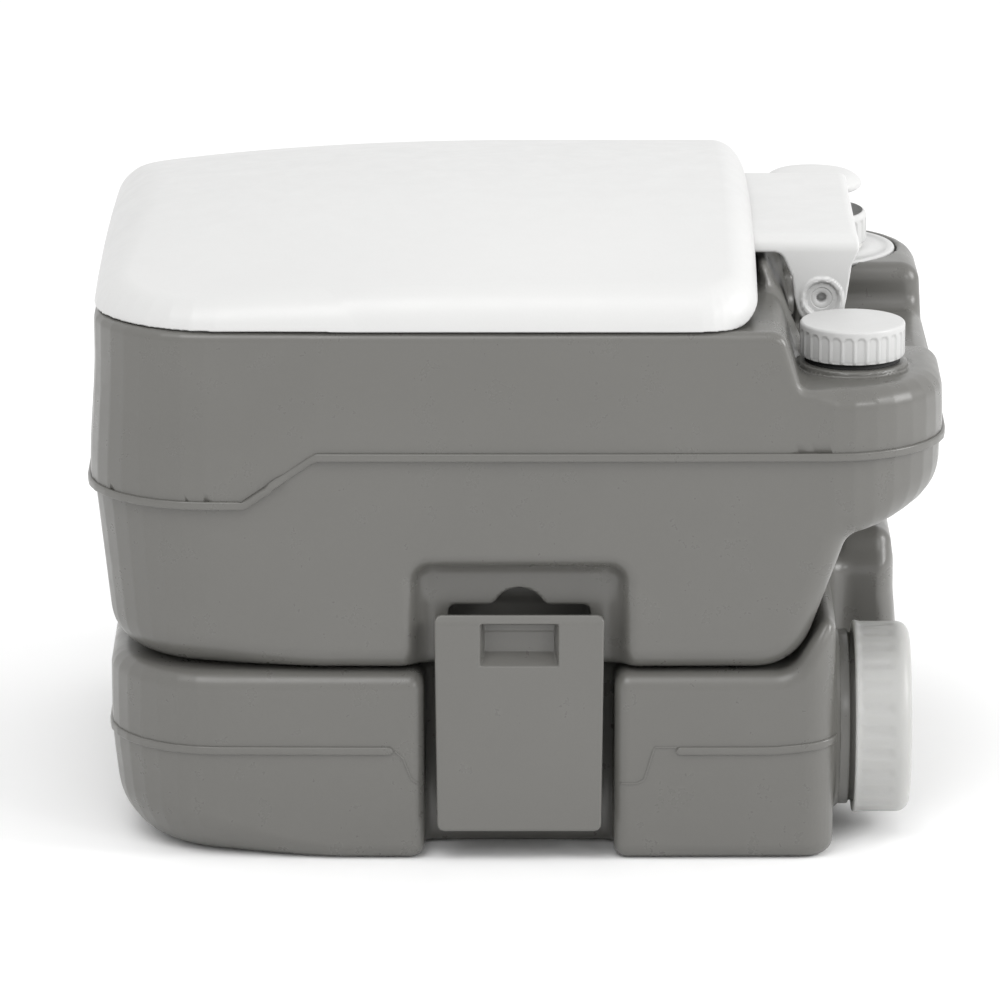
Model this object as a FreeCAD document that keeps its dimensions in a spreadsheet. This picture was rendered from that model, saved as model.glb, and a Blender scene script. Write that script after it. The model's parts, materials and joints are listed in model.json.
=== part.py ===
import FreeCAD, Part
import math
import os
import re
import Sketcher

# Portable camp toilet: a flush-water tank with a bowl, latched on top of a waste tank.
# Frame: origin at the middle of the footprint on the floor, +Z up, front at -Y, rear at +Y,
# and the sitter's left at +X. Millimetres.

DIMENSIONS = {
    "half_width": 180, "wall": 2.5, "plan_round": 50, "edge_round": 9, "parting": 1,
    "base_front": -199, "base_rear": 190, "base_corner_rear": 154, "base_top": 94,
    "base_heel": 40, "base_foot_round": 15, "notch_side": 62,
    "cradle_start": 133, "cradle_end": 151, "cradle_top": 121,
    "tower_half": 55, "tower_front": 157, "tower_rear": 187, "tower_top": 133,
    "grip_half": 38, "grip_low": 100, "grip_high": 121,
    "tank_front": -206, "tank_rear": 207, "tank_top": 263, "shelf_top": 235,
    "tank_toe": -197, "belly_start": 130, "belly_rear": 166, "belly_height": 150,
    "stern_height": 188, "shoulder_front": 125, "shoulder_rear": 137,
    "pedestal_half": 90, "pedestal_front": 118.5, "pedestal_top": 277, "pedestal_foot": 243,
    "valley_half": 78, "valley_floor": 215,
    "recess_middle": 1.5, "recess_half": 50.5, "recess_depth": 30, "recess_top": 126,
    "dish_top": 147, "dish_depth": 14, "weld_height": 190,
    "bowl_middle": -44, "bowl_half_x": 105, "bowl_half_y": 125,
    "outlet_y": -30, "outlet_radius": 44, "mouth_radius": 46,
    "pocket_floor": 76, "pocket_base": 8, "frame_half": 62, "frame_front": -95, "frame_rear": 35,
    "rail": 6, "gasket_thick": 2, "frame_lower_thick": 4.5, "blade_thick": 2.9, "frame_top": 90,
    "slack": 0.05, "lip_width": 4, "seal_width": 10, "pull_half": 40, "pull_way": 57, "pull_front": -194,
    "pull_depth": 22, "pull_stem_half": 30, "pull_floor": 80, "pull_top": 92,
    "screw_radius": 1.7, "screw_head": 3, "screw_head_high": 2, "screw_end": 69,
    "spout_x": 120, "spout_height": 56, "spout_radius": 42, "spout_bore": 37, "spout_end": 186,
    "waste_cap_radius": 47, "waste_cap_front": 165, "waste_cap_end": 193, "waste_seal_thick": 2,
    "waste_seal_inner": 30,
    "latch_half": 41, "latch_low": 15.5, "latch_top": 124, "latch_face": 181, "latch_skin": 4,
    "latch_flange": 12, "latch_pin_x": 171, "latch_pin_height": 24, "latch_pin_radius": 3,
    "latch_ear_half": 12, "latch_ear_round": 5.5,
    "hook_low": 114, "hook_high": 118, "hook_reach": 158, "ledge_low": 108, "ledge_high": 113.5,
    "ledge_half": 33, "ledge_reach": 167, "pinch_half": 19, "pinch_low": 98, "pinch_high": 119.5,
    "pinch_depth": 9,
    "fill_x": 123, "fill_y": 163, "fill_neck": 20, "fill_bore": 17, "fill_neck_top": 255,
    "fill_cap_radius": 25.5, "fill_cap_low": 240, "fill_cap_top": 258, "fill_gasket_radius": 24.5,
    "pump_x": -123, "pump_y": 153, "plate_radius": 43, "plate_thick": 3, "barrel_radius": 20,
    "barrel_bore": 17.5, "barrel_low": 168, "barrel_flange": 26, "collar_radius": 28.5,
    "collar_top": 257, "collar_floor": 1.5, "gland_radius": 8, "pump_rod_radius": 4,
    "piston_radius": 16.5, "piston_low": 196, "piston_thick": 8, "ring_thick": 3,
    "knob_radius": 25.5, "knob_low": 266, "knob_top": 277, "foot_valve_low": 158,
    "foot_valve_radius": 8, "hose_radius": 5, "hose_height": 176, "nozzle_height": 240,
    "nozzle_back": 95, "hose_bend": 22,
    "pin_y": 150, "pin_height": 256, "pin_radius": 5, "pin_inner": 28, "pin_outer": 73.5,
    "pin_socket": 2.5, "pin_socket_deep": 6, "ear_inner": 30, "ear_outer": 46, "ear_half": 9,
    "seat_arm_inner": 48, "seat_arm_outer": 60, "lid_arm_inner": 62, "lid_arm_outer": 75,
    "seat_half": 160, "seat_front": -184, "seat_rear": 96, "seat_low": 266, "seat_top": 284,
    "seat_hole_x": 98, "seat_hole_y": 118, "seat_arm_low": 278, "seat_round": 14,
    "seat_plan_round": 60, "bumper_radius": 6,
    "lid_half": 178, "lid_front": -206, "lid_rear": 117, "lid_low": 263.5, "lid_front_top": 297,
    "lid_top": 303, "lid_skin": 2.5, "lid_nose_round": 50, "lid_side_round": 35,
    "lid_tail_round": 12, "tongue_rear": 168, "tongue_top": 288, "tongue_skin": 3.5,
    "tongue_low": 280, "arm_foot": 246.5,
}

os.makedirs("parts", exist_ok=True)
doc = FreeCAD.newDocument("camp_toilet")
dims = doc.addObject("Spreadsheet::Sheet", "dims")
for row, (alias, value) in enumerate(DIMENSIONS.items(), start=1):
    dims.set("A%d" % row, alias)
    dims.set("B%d" % row, str(value))
    dims.setAlias("B%d" % row, alias)
doc.recompute()

AXIS_TURN = {
    "X": FreeCAD.Rotation(FreeCAD.Vector(0, 1, 0), 90),
    "Y": FreeCAD.Rotation(FreeCAD.Vector(1, 0, 0), -90),
    "Z": FreeCAD.Rotation(),
}


def bound(text):
    """Turn a formula written with the sheet's aliases into a document expression."""
    return re.sub(r"[a-z_]+\w*", lambda word: "dims." + word.group(), str(text))


def edge_along(shape, point, direction):
    """Name of the edge of a shape that runs through a point along a direction."""
    for index, edge in enumerate(shape.Edges, start=1):
        first, last = edge.Vertexes[0].Point, edge.Vertexes[-1].Point
        run = last - first
        if run.Length < 0.1 or run.cross(direction).Length > 1e-4 * run.Length:
            continue
        if (first - point).cross(direction).Length < 1e-3:
            return "Edge%d" % index
    raise ValueError("no edge at the corner")


def prism(name, plane, outline, low, high):
    """A body padded from a polygon of (a, b) or (a, b, corner radius), from low to high."""
    body = doc.addObject("PartDesign::Body", name)
    sketch = body.newObject("Sketcher::SketchObject", name + "_outline")
    base_plane = next(item for item in body.Origin.OriginFeatures if item.Role == plane)
    sketch.AttachmentSupport = [(base_plane, "")]
    sketch.MapMode = "FlatFace"
    start = "-(%s)" % high if plane == "XZ_Plane" else low
    sketch.setExpression(".AttachmentOffset.Base.z", bound(start))
    count = len(outline)
    turns = [2 * math.pi * index / count for index in range(count)]
    rough = [FreeCAD.Vector(100 * math.cos(turn), 100 * math.sin(turn), 0) for turn in turns]
    for index in range(count):
        line = Part.LineSegment(rough[index], rough[(index + 1) % count])
        sketch.addGeometry(line, False)
    for index in range(count):
        sketch.addConstraint(Sketcher.Constraint("Coincident", index, 2, (index + 1) % count, 1))
    for index, corner in enumerate(outline):
        for kind, formula, value in zip(("DistanceX", "DistanceY"), corner, rough[index]):
            place = sketch.addConstraint(Sketcher.Constraint(kind, -1, 1, index, 1, value))
            sketch.setExpression("Constraints[%d]" % place, bound(formula))
    pad = body.newObject("PartDesign::Pad", name + "_pad")
    pad.Profile = sketch
    pad.setExpression("Length", bound("(%s) - (%s)" % (high, low)))
    doc.recompute()
    normal = sketch.Placement.Rotation.multVec(FreeCAD.Vector(0, 0, 1))
    tip = pad
    radii = dict.fromkeys(corner[2] for corner in outline if len(corner) > 2)
    for radius in radii:
        points = [sketch.Placement.multVec(sketch.Geometry[index].StartPoint)
                  for index, corner in enumerate(outline) if corner[2:] == (radius,)]
        edges = [edge_along(tip.Shape, point, normal) for point in points]
        rounding = body.newObject("PartDesign::Fillet", name + "_round")
        rounding.Base = (tip, edges)
        rounding.setExpression("Radius", bound(radius))
        doc.recompute()
        tip = rounding
    return body


def block(name, x, y, z):
    """A box with each side given as (low, high)."""
    item = doc.addObject("Part::Box", name)
    for size, axis, (low, high) in (("Length", "x", x), ("Width", "y", y), ("Height", "z", z)):
        item.setExpression(size, bound("(%s) - (%s)" % (high, low)))
        item.setExpression(".Placement.Base." + axis, bound(low))
    return item


def rod(name, axis, centre, span, radius):
    """A cylinder along an axis; centre gives the other two coordinates in X, Y, Z order."""
    item = doc.addObject("Part::Cylinder", name)
    item.Placement = FreeCAD.Placement(FreeCAD.Vector(), AXIS_TURN[axis])
    item.setExpression("Radius", bound(radius))
    item.setExpression("Height", bound("(%s) - (%s)" % (span[1], span[0])))
    others = [letter for letter in "xyz" if letter != axis.lower()]
    for letter, formula in zip([axis.lower()] + others, (span[0],) + tuple(centre)):
        item.setExpression(".Placement.Base." + letter, bound(formula))
    return item


def fuse(name, items):
    """One solid from several that touch or overlap, or a group of separate solids."""
    item = doc.addObject("Part::MultiFuse", name)
    item.Shapes = items
    return item


def common(name, items):
    """What several solids share."""
    item = doc.addObject("Part::MultiCommon", name)
    item.Shapes = items
    return item


def cut(name, base, tools):
    """A solid less every tool."""
    item = doc.addObject("Part::Cut", name)
    item.Base = base
    item.Tool = tools[0] if len(tools) == 1 else fuse(name + "_tools", tools)
    return item


def ring(name, axis, centre, span, outer, inner):
    """A flat ring or a tube."""
    hole_span = ("(%s) - 1" % span[0], "(%s) + 1" % span[1])
    return cut(name, rod(name + "_rim", axis, centre, span, outer),
               [rod(name + "_hole", axis, centre, hole_span, inner)])


def mirror(name, item):
    """The same piece on the other side of the middle plane."""
    twin = doc.addObject("Part::Mirroring", name)
    twin.Source = item
    twin.Normal = FreeCAD.Vector(1, 0, 0)
    return twin


def inset(outline, depth):
    """An outline of (a, b, radius, inward a, inward b) moved inward by a depth."""
    moved = []
    for a, b, radius, step_a, step_b in outline:
        corner = ("%s + %d*(%s)" % (a, step_a, depth), "%s + %d*(%s)" % (b, step_b, depth))
        if radius:
            corner += ("%s - (%s)" % (radius, depth),)
        moved.append(corner)
    return moved


def three_way(name, side, plan, front, depth):
    """A moulded shape: what its side, plan and front outlines share, inset by a depth."""
    far = 260
    return common(name, [
        prism(name + "_side", "YZ_Plane", inset(side, depth), -far, far),
        prism(name + "_plan", "XY_Plane", inset(plan, depth), -far, 2 * far),
        prism(name + "_front", "XZ_Plane", inset(front, depth), -far, far),
    ])


def both_sides(name, item):
    """A solid and its twin on the other side."""
    return [item, mirror(name + "_twin", item)]


def bowl_cone(name, margin):
    """The bowl's funnel, from the oval rim down to the round outlet, grown by a margin."""
    sections = []
    levels = (("rim", "bowl_half_y", "bowl_half_x", "bowl_middle", "tank_top + 1"),
              ("throat", "outlet_radius + 0.01", "outlet_radius", "outlet_y", "base_top - 1"))
    for level, long_half, short_half, middle, height in levels:
        oval = doc.addObject("Part::Ellipse", name + "_" + level)
        turn = FreeCAD.Rotation(FreeCAD.Vector(0, 0, 1), 90)
        oval.Placement = FreeCAD.Placement(FreeCAD.Vector(), turn)
        oval.setExpression("MajorRadius", bound("%s + %s" % (long_half, margin)))
        oval.setExpression("MinorRadius", bound("%s + %s" % (short_half, margin)))
        oval.setExpression(".Placement.Base.y", bound(middle))
        oval.setExpression(".Placement.Base.z", bound(height))
        sections.append(oval)
    cone = doc.addObject("Part::Loft", name)
    cone.Sections = sections
    cone.Solid = True
    cone.Ruled = True
    return cone


def latch_recess(name, low, high, depth, margin):
    """The slot in a tank's side that a latch lies in, grown by a margin, on both sides."""
    slot = block(name, ("half_width - %s - (%s)" % (depth, margin), "half_width + 20"),
                 ("recess_middle - recess_half - (%s)" % margin,
                  "recess_middle + recess_half + (%s)" % margin), (low, high))
    return both_sides(name, slot)


# ---- waste tank -------------------------------------------------------------------------

BASE_SIDE = [
    ("base_front", "0", "base_heel", 1, 1), ("base_rear", "0", "base_foot_round", -1, 1),
    ("base_rear", "cradle_top", "edge_round", -1, -1),
    ("cradle_end", "cradle_top", "edge_round", 0, -1),
    ("cradle_start", "base_top", "edge_round", 0, -1),
    ("base_front", "base_top", "edge_round", 1, -1),
]
BASE_PLAN = [
    ("-half_width", "base_front", "plan_round", 1, 1),
    ("half_width", "base_front", "plan_round", -1, 1),
    ("half_width", "base_corner_rear", "plan_round/2", -1, -1),
    ("notch_side", "base_corner_rear", "edge_round", -1, -1),
    ("notch_side", "base_rear", "edge_round", -1, -1),
    ("-half_width", "base_rear", "plan_round", 1, -1),
]
LATCH_PIN_SPAN = ("recess_middle - latch_half", "recess_middle + latch_half")
BASE_FRONT = [
    ("-half_width", "0", "base_foot_round", 1, 1), ("half_width", "0", "base_foot_round", -1, 1),
    ("half_width", "cradle_top", "edge_round", -1, -1),
    ("-half_width", "cradle_top", "edge_round", 1, -1),
]


def lower_tank():
    shell = three_way("base_outer", BASE_SIDE, BASE_PLAN, BASE_FRONT, "0")
    hollow = three_way("base_inner", BASE_SIDE, BASE_PLAN, BASE_FRONT, "wall")
    mouth_at = ("0", "outlet_y")
    spout_at = ("spout_x", "spout_height")
    valve_pocket = block("valve_pocket", ("-frame_half - slack", "frame_half + slack"),
                         ("frame_front - slack", "frame_rear + slack"),
                         ("pocket_floor", "base_top + 1"))
    pocket_skin = block("pocket_skin", ("-frame_half - wall", "frame_half + wall"),
                        ("frame_front - wall", "frame_rear + wall"),
                        ("pocket_floor - pocket_base", "base_top + 1"))
    pull_pocket = block("pull_pocket", ("-pull_way", "pull_way"),
                        ("base_front - 5", "frame_front"), ("pull_floor", "base_top + 1"))
    pull_skin = block("pull_skin", ("-pull_way - wall", "pull_way + wall"),
                      ("base_front - 5", "frame_front"), ("pull_floor - wall", "base_top + 1"))
    spout_wall = ring("spout_wall", "Y", spout_at, ("base_corner_rear - wall", "spout_end"),
                      "spout_radius", "spout_bore")
    spout_bore = rod("spout_bore_cut", "Y", spout_at, ("base_corner_rear - 3*wall", "spout_end"),
                     "spout_bore")
    tower = block("tower", ("-tower_half", "tower_half"), ("tower_front", "tower_rear"),
                  ("cradle_top - 2*wall", "tower_top"))
    grip_hole = block("grip_hole", ("-grip_half", "grip_half"),
                      ("tower_front + 7", "base_rear + 10"), ("grip_low", "grip_high"))
    grip_skin = block("grip_skin", ("-grip_half - wall", "grip_half + wall"),
                      ("tower_front + 7 - wall", "base_rear + 10"),
                      ("grip_low - wall", "tower_top"))
    mouth = rod("mouth_cut", "Z", mouth_at, ("pocket_floor - 3*pocket_base", "base_top"),
                "mouth_radius")
    pilots = screw_group("screw_pilots", "screw_radius", ("screw_end", "pocket_floor + 1"))
    ear_y = ("recess_middle - latch_ear_half", "recess_middle + latch_ear_half")
    ear = fuse("latch_ear", [
        block("latch_ear_bar", ("half_width - recess_depth - wall", "latch_pin_x"), ear_y,
              ("latch_pin_height - latch_ear_round", "latch_pin_height + latch_ear_round")),
        rod("latch_ear_eye", "Y", ("latch_pin_x", "latch_pin_height"), ear_y,
            "latch_ear_round")])
    ears = both_sides("latch_ear", ear)
    pin_holes = both_sides("latch_pin_hole", rod(
        "latch_pin_hole", "Y", ("latch_pin_x", "latch_pin_height"), LATCH_PIN_SPAN,
        "latch_pin_radius"))
    water_space = cut("base_hollow", hollow, [pocket_skin, pull_skin, grip_skin]
                      + latch_recess("base_recess_skin", "-1", "base_top + 1", "recess_depth",
                                     "wall"))
    walls = cut("base_walls", shell, [water_space, valve_pocket, pull_pocket, mouth, pilots]
                + latch_recess("base_recess", "-1", "base_top + 1", "recess_depth", "0"))
    solid = fuse("base_solid", [walls, spout_wall, tower] + ears)
    return cut("lower_tank", solid, [spout_bore, grip_hole] + pin_holes)


def screw_group(name, radius, span):
    """A rod at each of the six screw places round the valve."""
    side = "frame_half - rail/2"
    rods = []
    for sign in ("-1", "1"):
        for along in ("frame_front + rail/2", "outlet_y", "frame_rear - rail/2"):
            rods.append(rod(name, "Z", ("%s*(%s)" % (sign, side), along), span, radius))
    return fuse(name, rods)


def valve_pieces():
    """The slide valve under the bowl: gasket, two frames, screws, seals, blade and pull."""
    middle = ("0", "outlet_y")
    lower_low = "pocket_floor + gasket_thick"
    lower_high = lower_low + " + frame_lower_thick"
    blade_low = lower_high + " + slack"
    upper_low = blade_low + " + blade_thick + slack"
    gasket = ring("valve_gasket", "Z", middle, ("pocket_floor", lower_low),
                  "mouth_radius + seal_width - 1", "mouth_radius")
    plate_x = ("-frame_half", "frame_half")
    plate_y = ("frame_front", "frame_rear")
    screw_holes = screw_group("frame_screw_holes", "screw_radius", ("pocket_floor", "base_top"))
    mouth = rod("frame_mouth", "Z", middle, ("pocket_floor", "base_top"), "mouth_radius")
    frame_lower = cut("valve_frame_lower", block("frame_lower_plate", plate_x, plate_y,
                                                 (lower_low, lower_high)), [mouth, screw_holes])
    blade_way = block("blade_way", ("-frame_half + rail", "frame_half - rail"),
                      ("frame_front - 1", "frame_rear - rail"), (lower_high, upper_low))
    lip_seat = rod("lip_seat", "Z", middle, (upper_low, upper_low + " + 2"),
                   "mouth_radius + lip_width")
    frame_upper = cut("valve_frame_upper", block("frame_upper_plate", plate_x, plate_y,
                                                 (lower_high, "frame_top")),
                      [mouth, screw_holes, blade_way, lip_seat])
    lip_seal = ring("valve_lip_seal", "Z", middle, (upper_low, upper_low + " + 2"),
                    "mouth_radius + lip_width", "mouth_radius")
    screws = fuse("valve_screws", [
        screw_group("screw_shanks", "screw_radius", ("screw_end", "frame_top")),
        screw_group("screw_heads", "screw_head", ("frame_top", "frame_top + screw_head_high"))])
    outlet_seal = ring("outlet_seal", "Z", middle, ("frame_top", "base_top + parting"),
                       "mouth_radius + seal_width/2", "mouth_radius")
    blade = block("valve_blade",
                  ("-frame_half + rail + slack", "frame_half - rail - slack"),
                  ("frame_front + wall", "frame_rear - rail - slack"),
                  (blade_low, blade_low + " + blade_thick"))
    stem = block("pull_stem", ("-pull_stem_half", "pull_stem_half"),
                 ("pull_front + pull_depth", "frame_front + wall"),
                 (blade_low, blade_low + " + blade_thick"))
    grip = prism("pull_grip", "XY_Plane", [
        ("-pull_half", "pull_front", "edge_round"), ("pull_half", "pull_front", "edge_round"),
        ("pull_half", "pull_front + pull_depth"), ("-pull_half", "pull_front + pull_depth")],
        "pull_floor + 0.5", "pull_top")
    pull = fuse("valve_handle", [stem, grip])
    return [gasket, frame_lower, frame_upper, lip_seal, screws, outlet_seal, blade, pull]


def waste_cap_pieces():
    """The cap of the pouring spout and the seal inside it."""
    at = ("spout_x", "spout_height")
    seal_end = "spout_end + waste_seal_thick"
    seal = ring("waste_cap_seal", "Y", at, ("spout_end", seal_end), "spout_radius",
                "waste_seal_inner")
    cap = cut("waste_cap", rod("waste_cap_body", "Y", at, ("waste_cap_front", "waste_cap_end"),
                               "waste_cap_radius"),
              [rod("waste_cap_inside", "Y", at, ("waste_cap_front - 1", seal_end),
                   "spout_radius + slack")])
    return [seal, cap]


def latch_pieces():
    """The two side latches, which tip outward on pins at their feet."""
    y_low, y_high = "recess_middle - latch_half", "recess_middle + latch_half"
    back = "latch_face - latch_flange"
    face = block("latch_skin_plate", ("latch_face - latch_skin", "latch_face"),
                 (y_low, y_high), ("latch_low", "latch_top"))
    flanges = [
        block("latch_flange_front", (back, "latch_face - latch_skin"), (y_low, y_low + " + wall"),
              ("latch_low", "latch_top")),
        block("latch_flange_rear", (back, "latch_face - latch_skin"), (y_high + " - wall", y_high),
              ("latch_low", "latch_top")),
    ]
    pinch_skin = block("pinch_skin", ("latch_face - pinch_depth - wall", "latch_face - latch_skin"),
                       ("recess_middle - pinch_half - wall", "recess_middle + pinch_half + wall"),
                       ("pinch_low - wall", "pinch_high + wall"))
    hook = block("latch_hook", ("hook_reach", "latch_face - latch_skin"),
                 ("recess_middle - ledge_half", "recess_middle + ledge_half"),
                 ("hook_low", "hook_high"))
    pinch = block("pinch", ("latch_face - pinch_depth", "latch_face + 1"),
                  ("recess_middle - pinch_half", "recess_middle + pinch_half"),
                  ("pinch_low", "pinch_high"))
    hole = rod("latch_bore", "Y", ("latch_pin_x", "latch_pin_height"),
               (y_low + " - 1", y_high + " + 1"), "latch_pin_radius + slack")
    latch = cut("latch_left", fuse("latch_solid", [face] + flanges + [pinch_skin, hook]),
                [pinch, hole])
    pin = rod("latch_pin_left", "Y", ("latch_pin_x", "latch_pin_height"), LATCH_PIN_SPAN,
              "latch_pin_radius")
    return [latch, mirror("latch_right", latch), pin, mirror("latch_pin_right", pin)]


# ---- flush-water tank and bowl ----------------------------------------------------------

TANK_FLOOR = "base_top + parting"
TANK_SIDE = [
    ("tank_toe", TANK_FLOOR, "plan_round/2", 1, 1),
    ("belly_start", TANK_FLOOR, "plan_round/2", 0, 1),
    ("belly_rear", "belly_height", "plan_round/3", 0, 1),
    ("tank_rear", "stern_height", "plan_round/2", -1, 1),
    ("tank_rear", "shelf_top", "edge_round", -1, -1),
    ("shoulder_rear", "shelf_top", "edge_round", -1, -1),
    ("shoulder_front", "tank_top", "edge_round", -1, -1),
    ("tank_front", "tank_top", "", 1, -1),
    ("tank_front", "belly_height", "", 1, 0),
]
TANK_PLAN = [
    ("-half_width", "tank_front", "plan_round", 1, 1),
    ("half_width", "tank_front", "plan_round", -1, 1),
    ("half_width", "tank_rear", "plan_round", -1, -1),
    ("-half_width", "tank_rear", "plan_round", 1, -1),
]
TANK_FRONT = [
    ("-half_width + parting", TANK_FLOOR, "plan_round/2", 1, 1),
    ("half_width - parting", TANK_FLOOR, "plan_round/2", -1, 1),
    ("half_width", "tank_top", "", -1, -1), ("-half_width", "tank_top", "", 1, -1),
]


def upper_tank():
    """The flush-water tank's two shells, which are welded together all round."""
    shell = three_way("tank_outer", TANK_SIDE, TANK_PLAN, TANK_FRONT, "0")
    hollow = three_way("tank_inner", TANK_SIDE, TANK_PLAN, TANK_FRONT, "wall")
    fill_at = ("fill_x", "fill_y")
    pump_at = ("pump_x", "pump_y")
    valley = block("valley", ("-valley_half", "valley_half"),
                   ("shoulder_rear", "tank_rear + 5"), ("valley_floor", "tank_top"))
    valley_skin = block("valley_skin", ("-valley_half - wall", "valley_half + wall"),
                        ("shoulder_rear - wall", "tank_rear + 5"),
                        ("valley_floor - wall", "tank_top"))
    ear_web = prism("ear_web", "YZ_Plane", [
        ("pin_y - ear_half", "valley_floor - wall"), ("pin_y + ear_half", "valley_floor - wall"),
        ("pin_y + ear_half", "pin_height + ear_half", "ear_half - 0.1"),
        ("pin_y - ear_half", "pin_height + ear_half", "ear_half - 0.1")],
        "ear_inner", "ear_outer")
    pedestal = prism("pedestal", "YZ_Plane", [
        ("pedestal_front", "tank_top - wall"), ("shoulder_rear", "pedestal_foot - 3*wall"),
        ("shoulder_rear", "pedestal_foot"), ("pedestal_front + wall", "pedestal_top"),
        ("pedestal_front", "pedestal_top")], "-pedestal_half", "pedestal_half")
    ledges = both_sides("ledge", block(
        "ledge", ("half_width - recess_depth - 1", "ledge_reach"),
        ("recess_middle - ledge_half + 1", "recess_middle + ledge_half - 1"),
        ("ledge_low", "ledge_high")))
    corner_seats = [
        rod("pump_corner", "Z", pump_at, ("shelf_top", "tank_top + 1"), "plate_radius + 1"),
        rod("fill_corner", "Z", fill_at, ("shelf_top", "tank_top + 1"), "fill_cap_radius + 3")]
    corner_skins = [
        rod("pump_corner_skin", "Z", pump_at, ("shelf_top - wall", "tank_top"),
            "plate_radius + 1 + wall"),
        rod("fill_corner_skin", "Z", fill_at, ("shelf_top - wall", "tank_top"),
            "fill_cap_radius + 3 + wall")]
    fill_neck = rod("fill_neck_wall", "Z", fill_at, ("shelf_top - wall", "fill_neck_top"),
                    "fill_neck")
    floor_low = "base_top - 1"
    inner_space = cut("tank_space", hollow, [valley_skin] + corner_skins
        + latch_recess("tank_recess_skin", floor_low, "recess_top + wall", "recess_depth", "wall")
        + latch_recess("tank_dish_skin", floor_low, "dish_top + wall", "dish_depth", "wall"))
    walls = cut("tank_walls", shell, [inner_space, bowl_cone("bowl_place", "wall"), valley]
                + corner_seats
                + latch_recess("tank_recess", floor_low, "recess_top", "recess_depth", "0")
                + latch_recess("tank_dish", floor_low, "dish_top", "dish_depth", "0"))
    trimmed_pedestal = cut("pedestal_trimmed", pedestal, corner_seats)
    solid = fuse("tank_solid", [walls, trimmed_pedestal, fill_neck] + ledges
                 + both_sides("ear", ear_web))
    whole = cut("tank_whole", solid, [
        rod("fill_bore_cut", "Z", fill_at, ("shelf_top - 3*wall", "fill_neck_top + 1"),
            "fill_bore"),
        rod("barrel_cut", "Z", pump_at, ("shelf_top - 3*wall", "shelf_top + 1"),
            "barrel_radius")]
        + both_sides("hinge_bore", rod("hinge_bore", "X", ("pin_y", "pin_height"),
                                       ("pin_inner", "ear_outer + 1"), "pin_radius")))
    return [
        common("upper_tank_base", [whole, tank_band("tank_below_weld", TANK_FLOOR, "weld_height")]),
        common("upper_tank", [whole, tank_band("tank_above_weld", "weld_height", "lid_top")])]


def tank_band(name, low, high):
    """All of the flush tank's length and width, between two heights."""
    return block(name, ("-half_width", "half_width"), ("tank_front", "tank_rear"), (low, high))


def bowl():
    """The bowl's funnel: its rim and outlet are flush with the tank's deck and floor."""
    funnel = common("bowl_funnel", [bowl_cone("bowl_outside", "wall"),
                                    tank_band("bowl_band", TANK_FLOOR, "tank_top")])
    port = rod("nozzle_cut", "Y", ("0", "nozzle_height"), ("outlet_y", "nozzle_back"),
               "hose_radius")
    return cut("bowl", funnel, [bowl_cone("bowl_inside", "0"), port])


def fill_cap_pieces():
    """The filler's screw cap and the black gasket under its rim."""
    at = ("fill_x", "fill_y")
    gasket = ring("fill_gasket", "Z", at, ("shelf_top", "fill_cap_low"), "fill_gasket_radius",
                  "fill_neck + slack")
    cap = cut("fill_cap", rod("fill_cap_body", "Z", at, ("fill_cap_low", "fill_cap_top"),
                              "fill_cap_radius"),
              [rod("fill_cap_inside", "Z", at, ("fill_cap_low - 1", "fill_neck_top"),
                   "fill_neck + slack")])
    return [gasket, cap]


def pump_pieces():
    """The hand pump: what stays in the tank first, then what moves with the knob."""
    at = ("pump_x", "pump_y")
    plate_top = "shelf_top + plate_thick"
    flange_top = plate_top + " + plate_thick"
    gland_low = flange_top + " + collar_floor"
    gland_high = gland_low + " + plate_thick"
    plate = ring("pump_plate", "Z", at, ("shelf_top", plate_top), "plate_radius", "barrel_radius")
    barrel = cut("pump_barrel", fuse("barrel_solid", [
        rod("barrel_tube", "Z", at, ("barrel_low", flange_top), "barrel_radius"),
        rod("barrel_rim", "Z", at, (plate_top, flange_top), "barrel_flange")]), [
        rod("barrel_inside", "Z", at, ("barrel_low + wall", flange_top), "barrel_bore"),
        rod("barrel_inlet", "Z", at, ("barrel_low - 1", "barrel_low + wall"), "pump_rod_radius"),
        rod("barrel_port", "X", ("pump_y", "hose_height"), ("pump_x", "pump_x + barrel_radius"),
            "hose_radius - 1.5")])
    foot_valve = ring("pump_foot_valve", "Z", at, ("foot_valve_low", "barrel_low"),
                      "foot_valve_radius", "pump_rod_radius")
    collar = cut("pump_collar", rod("collar_body", "Z", at, (flange_top, "collar_top"),
                                    "collar_radius"), [
        rod("collar_guide", "Z", at, (flange_top, "collar_top"), "pump_rod_radius + slack"),
        rod("gland_seat", "Z", at, (gland_low, "collar_top"), "gland_radius"),
        rod("collar_inside", "Z", at, (gland_high, "collar_top"),
            "knob_radius + 0.5")])
    gland = ring("pump_gland_seal", "Z", at, (gland_low, gland_high), "gland_radius",
                 "pump_rod_radius + slack")
    piston_high = "piston_low + piston_thick"
    ring_low = "piston_low + 2.5"
    groove = ring("ring_groove", "Z", at, (ring_low, ring_low + " + ring_thick"),
                  "barrel_radius", "piston_radius - 3")
    piston = cut("pump_piston", rod("piston_body", "Z", at, ("piston_low", piston_high),
                                    "piston_radius"), [groove])
    piston_ring = ring("piston_ring", "Z", at, (ring_low, ring_low + " + ring_thick"),
                       "barrel_bore - slack", "piston_radius - 3")
    pump_rod = rod("pump_rod", "Z", at, (piston_high, "knob_low"), "pump_rod_radius")
    knob = rod("pump_knob", "Z", at, ("knob_low", "knob_top"), "knob_radius")
    return [plate, barrel, foot_valve, collar, gland, piston, piston_ring, pump_rod, knob]


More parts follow.
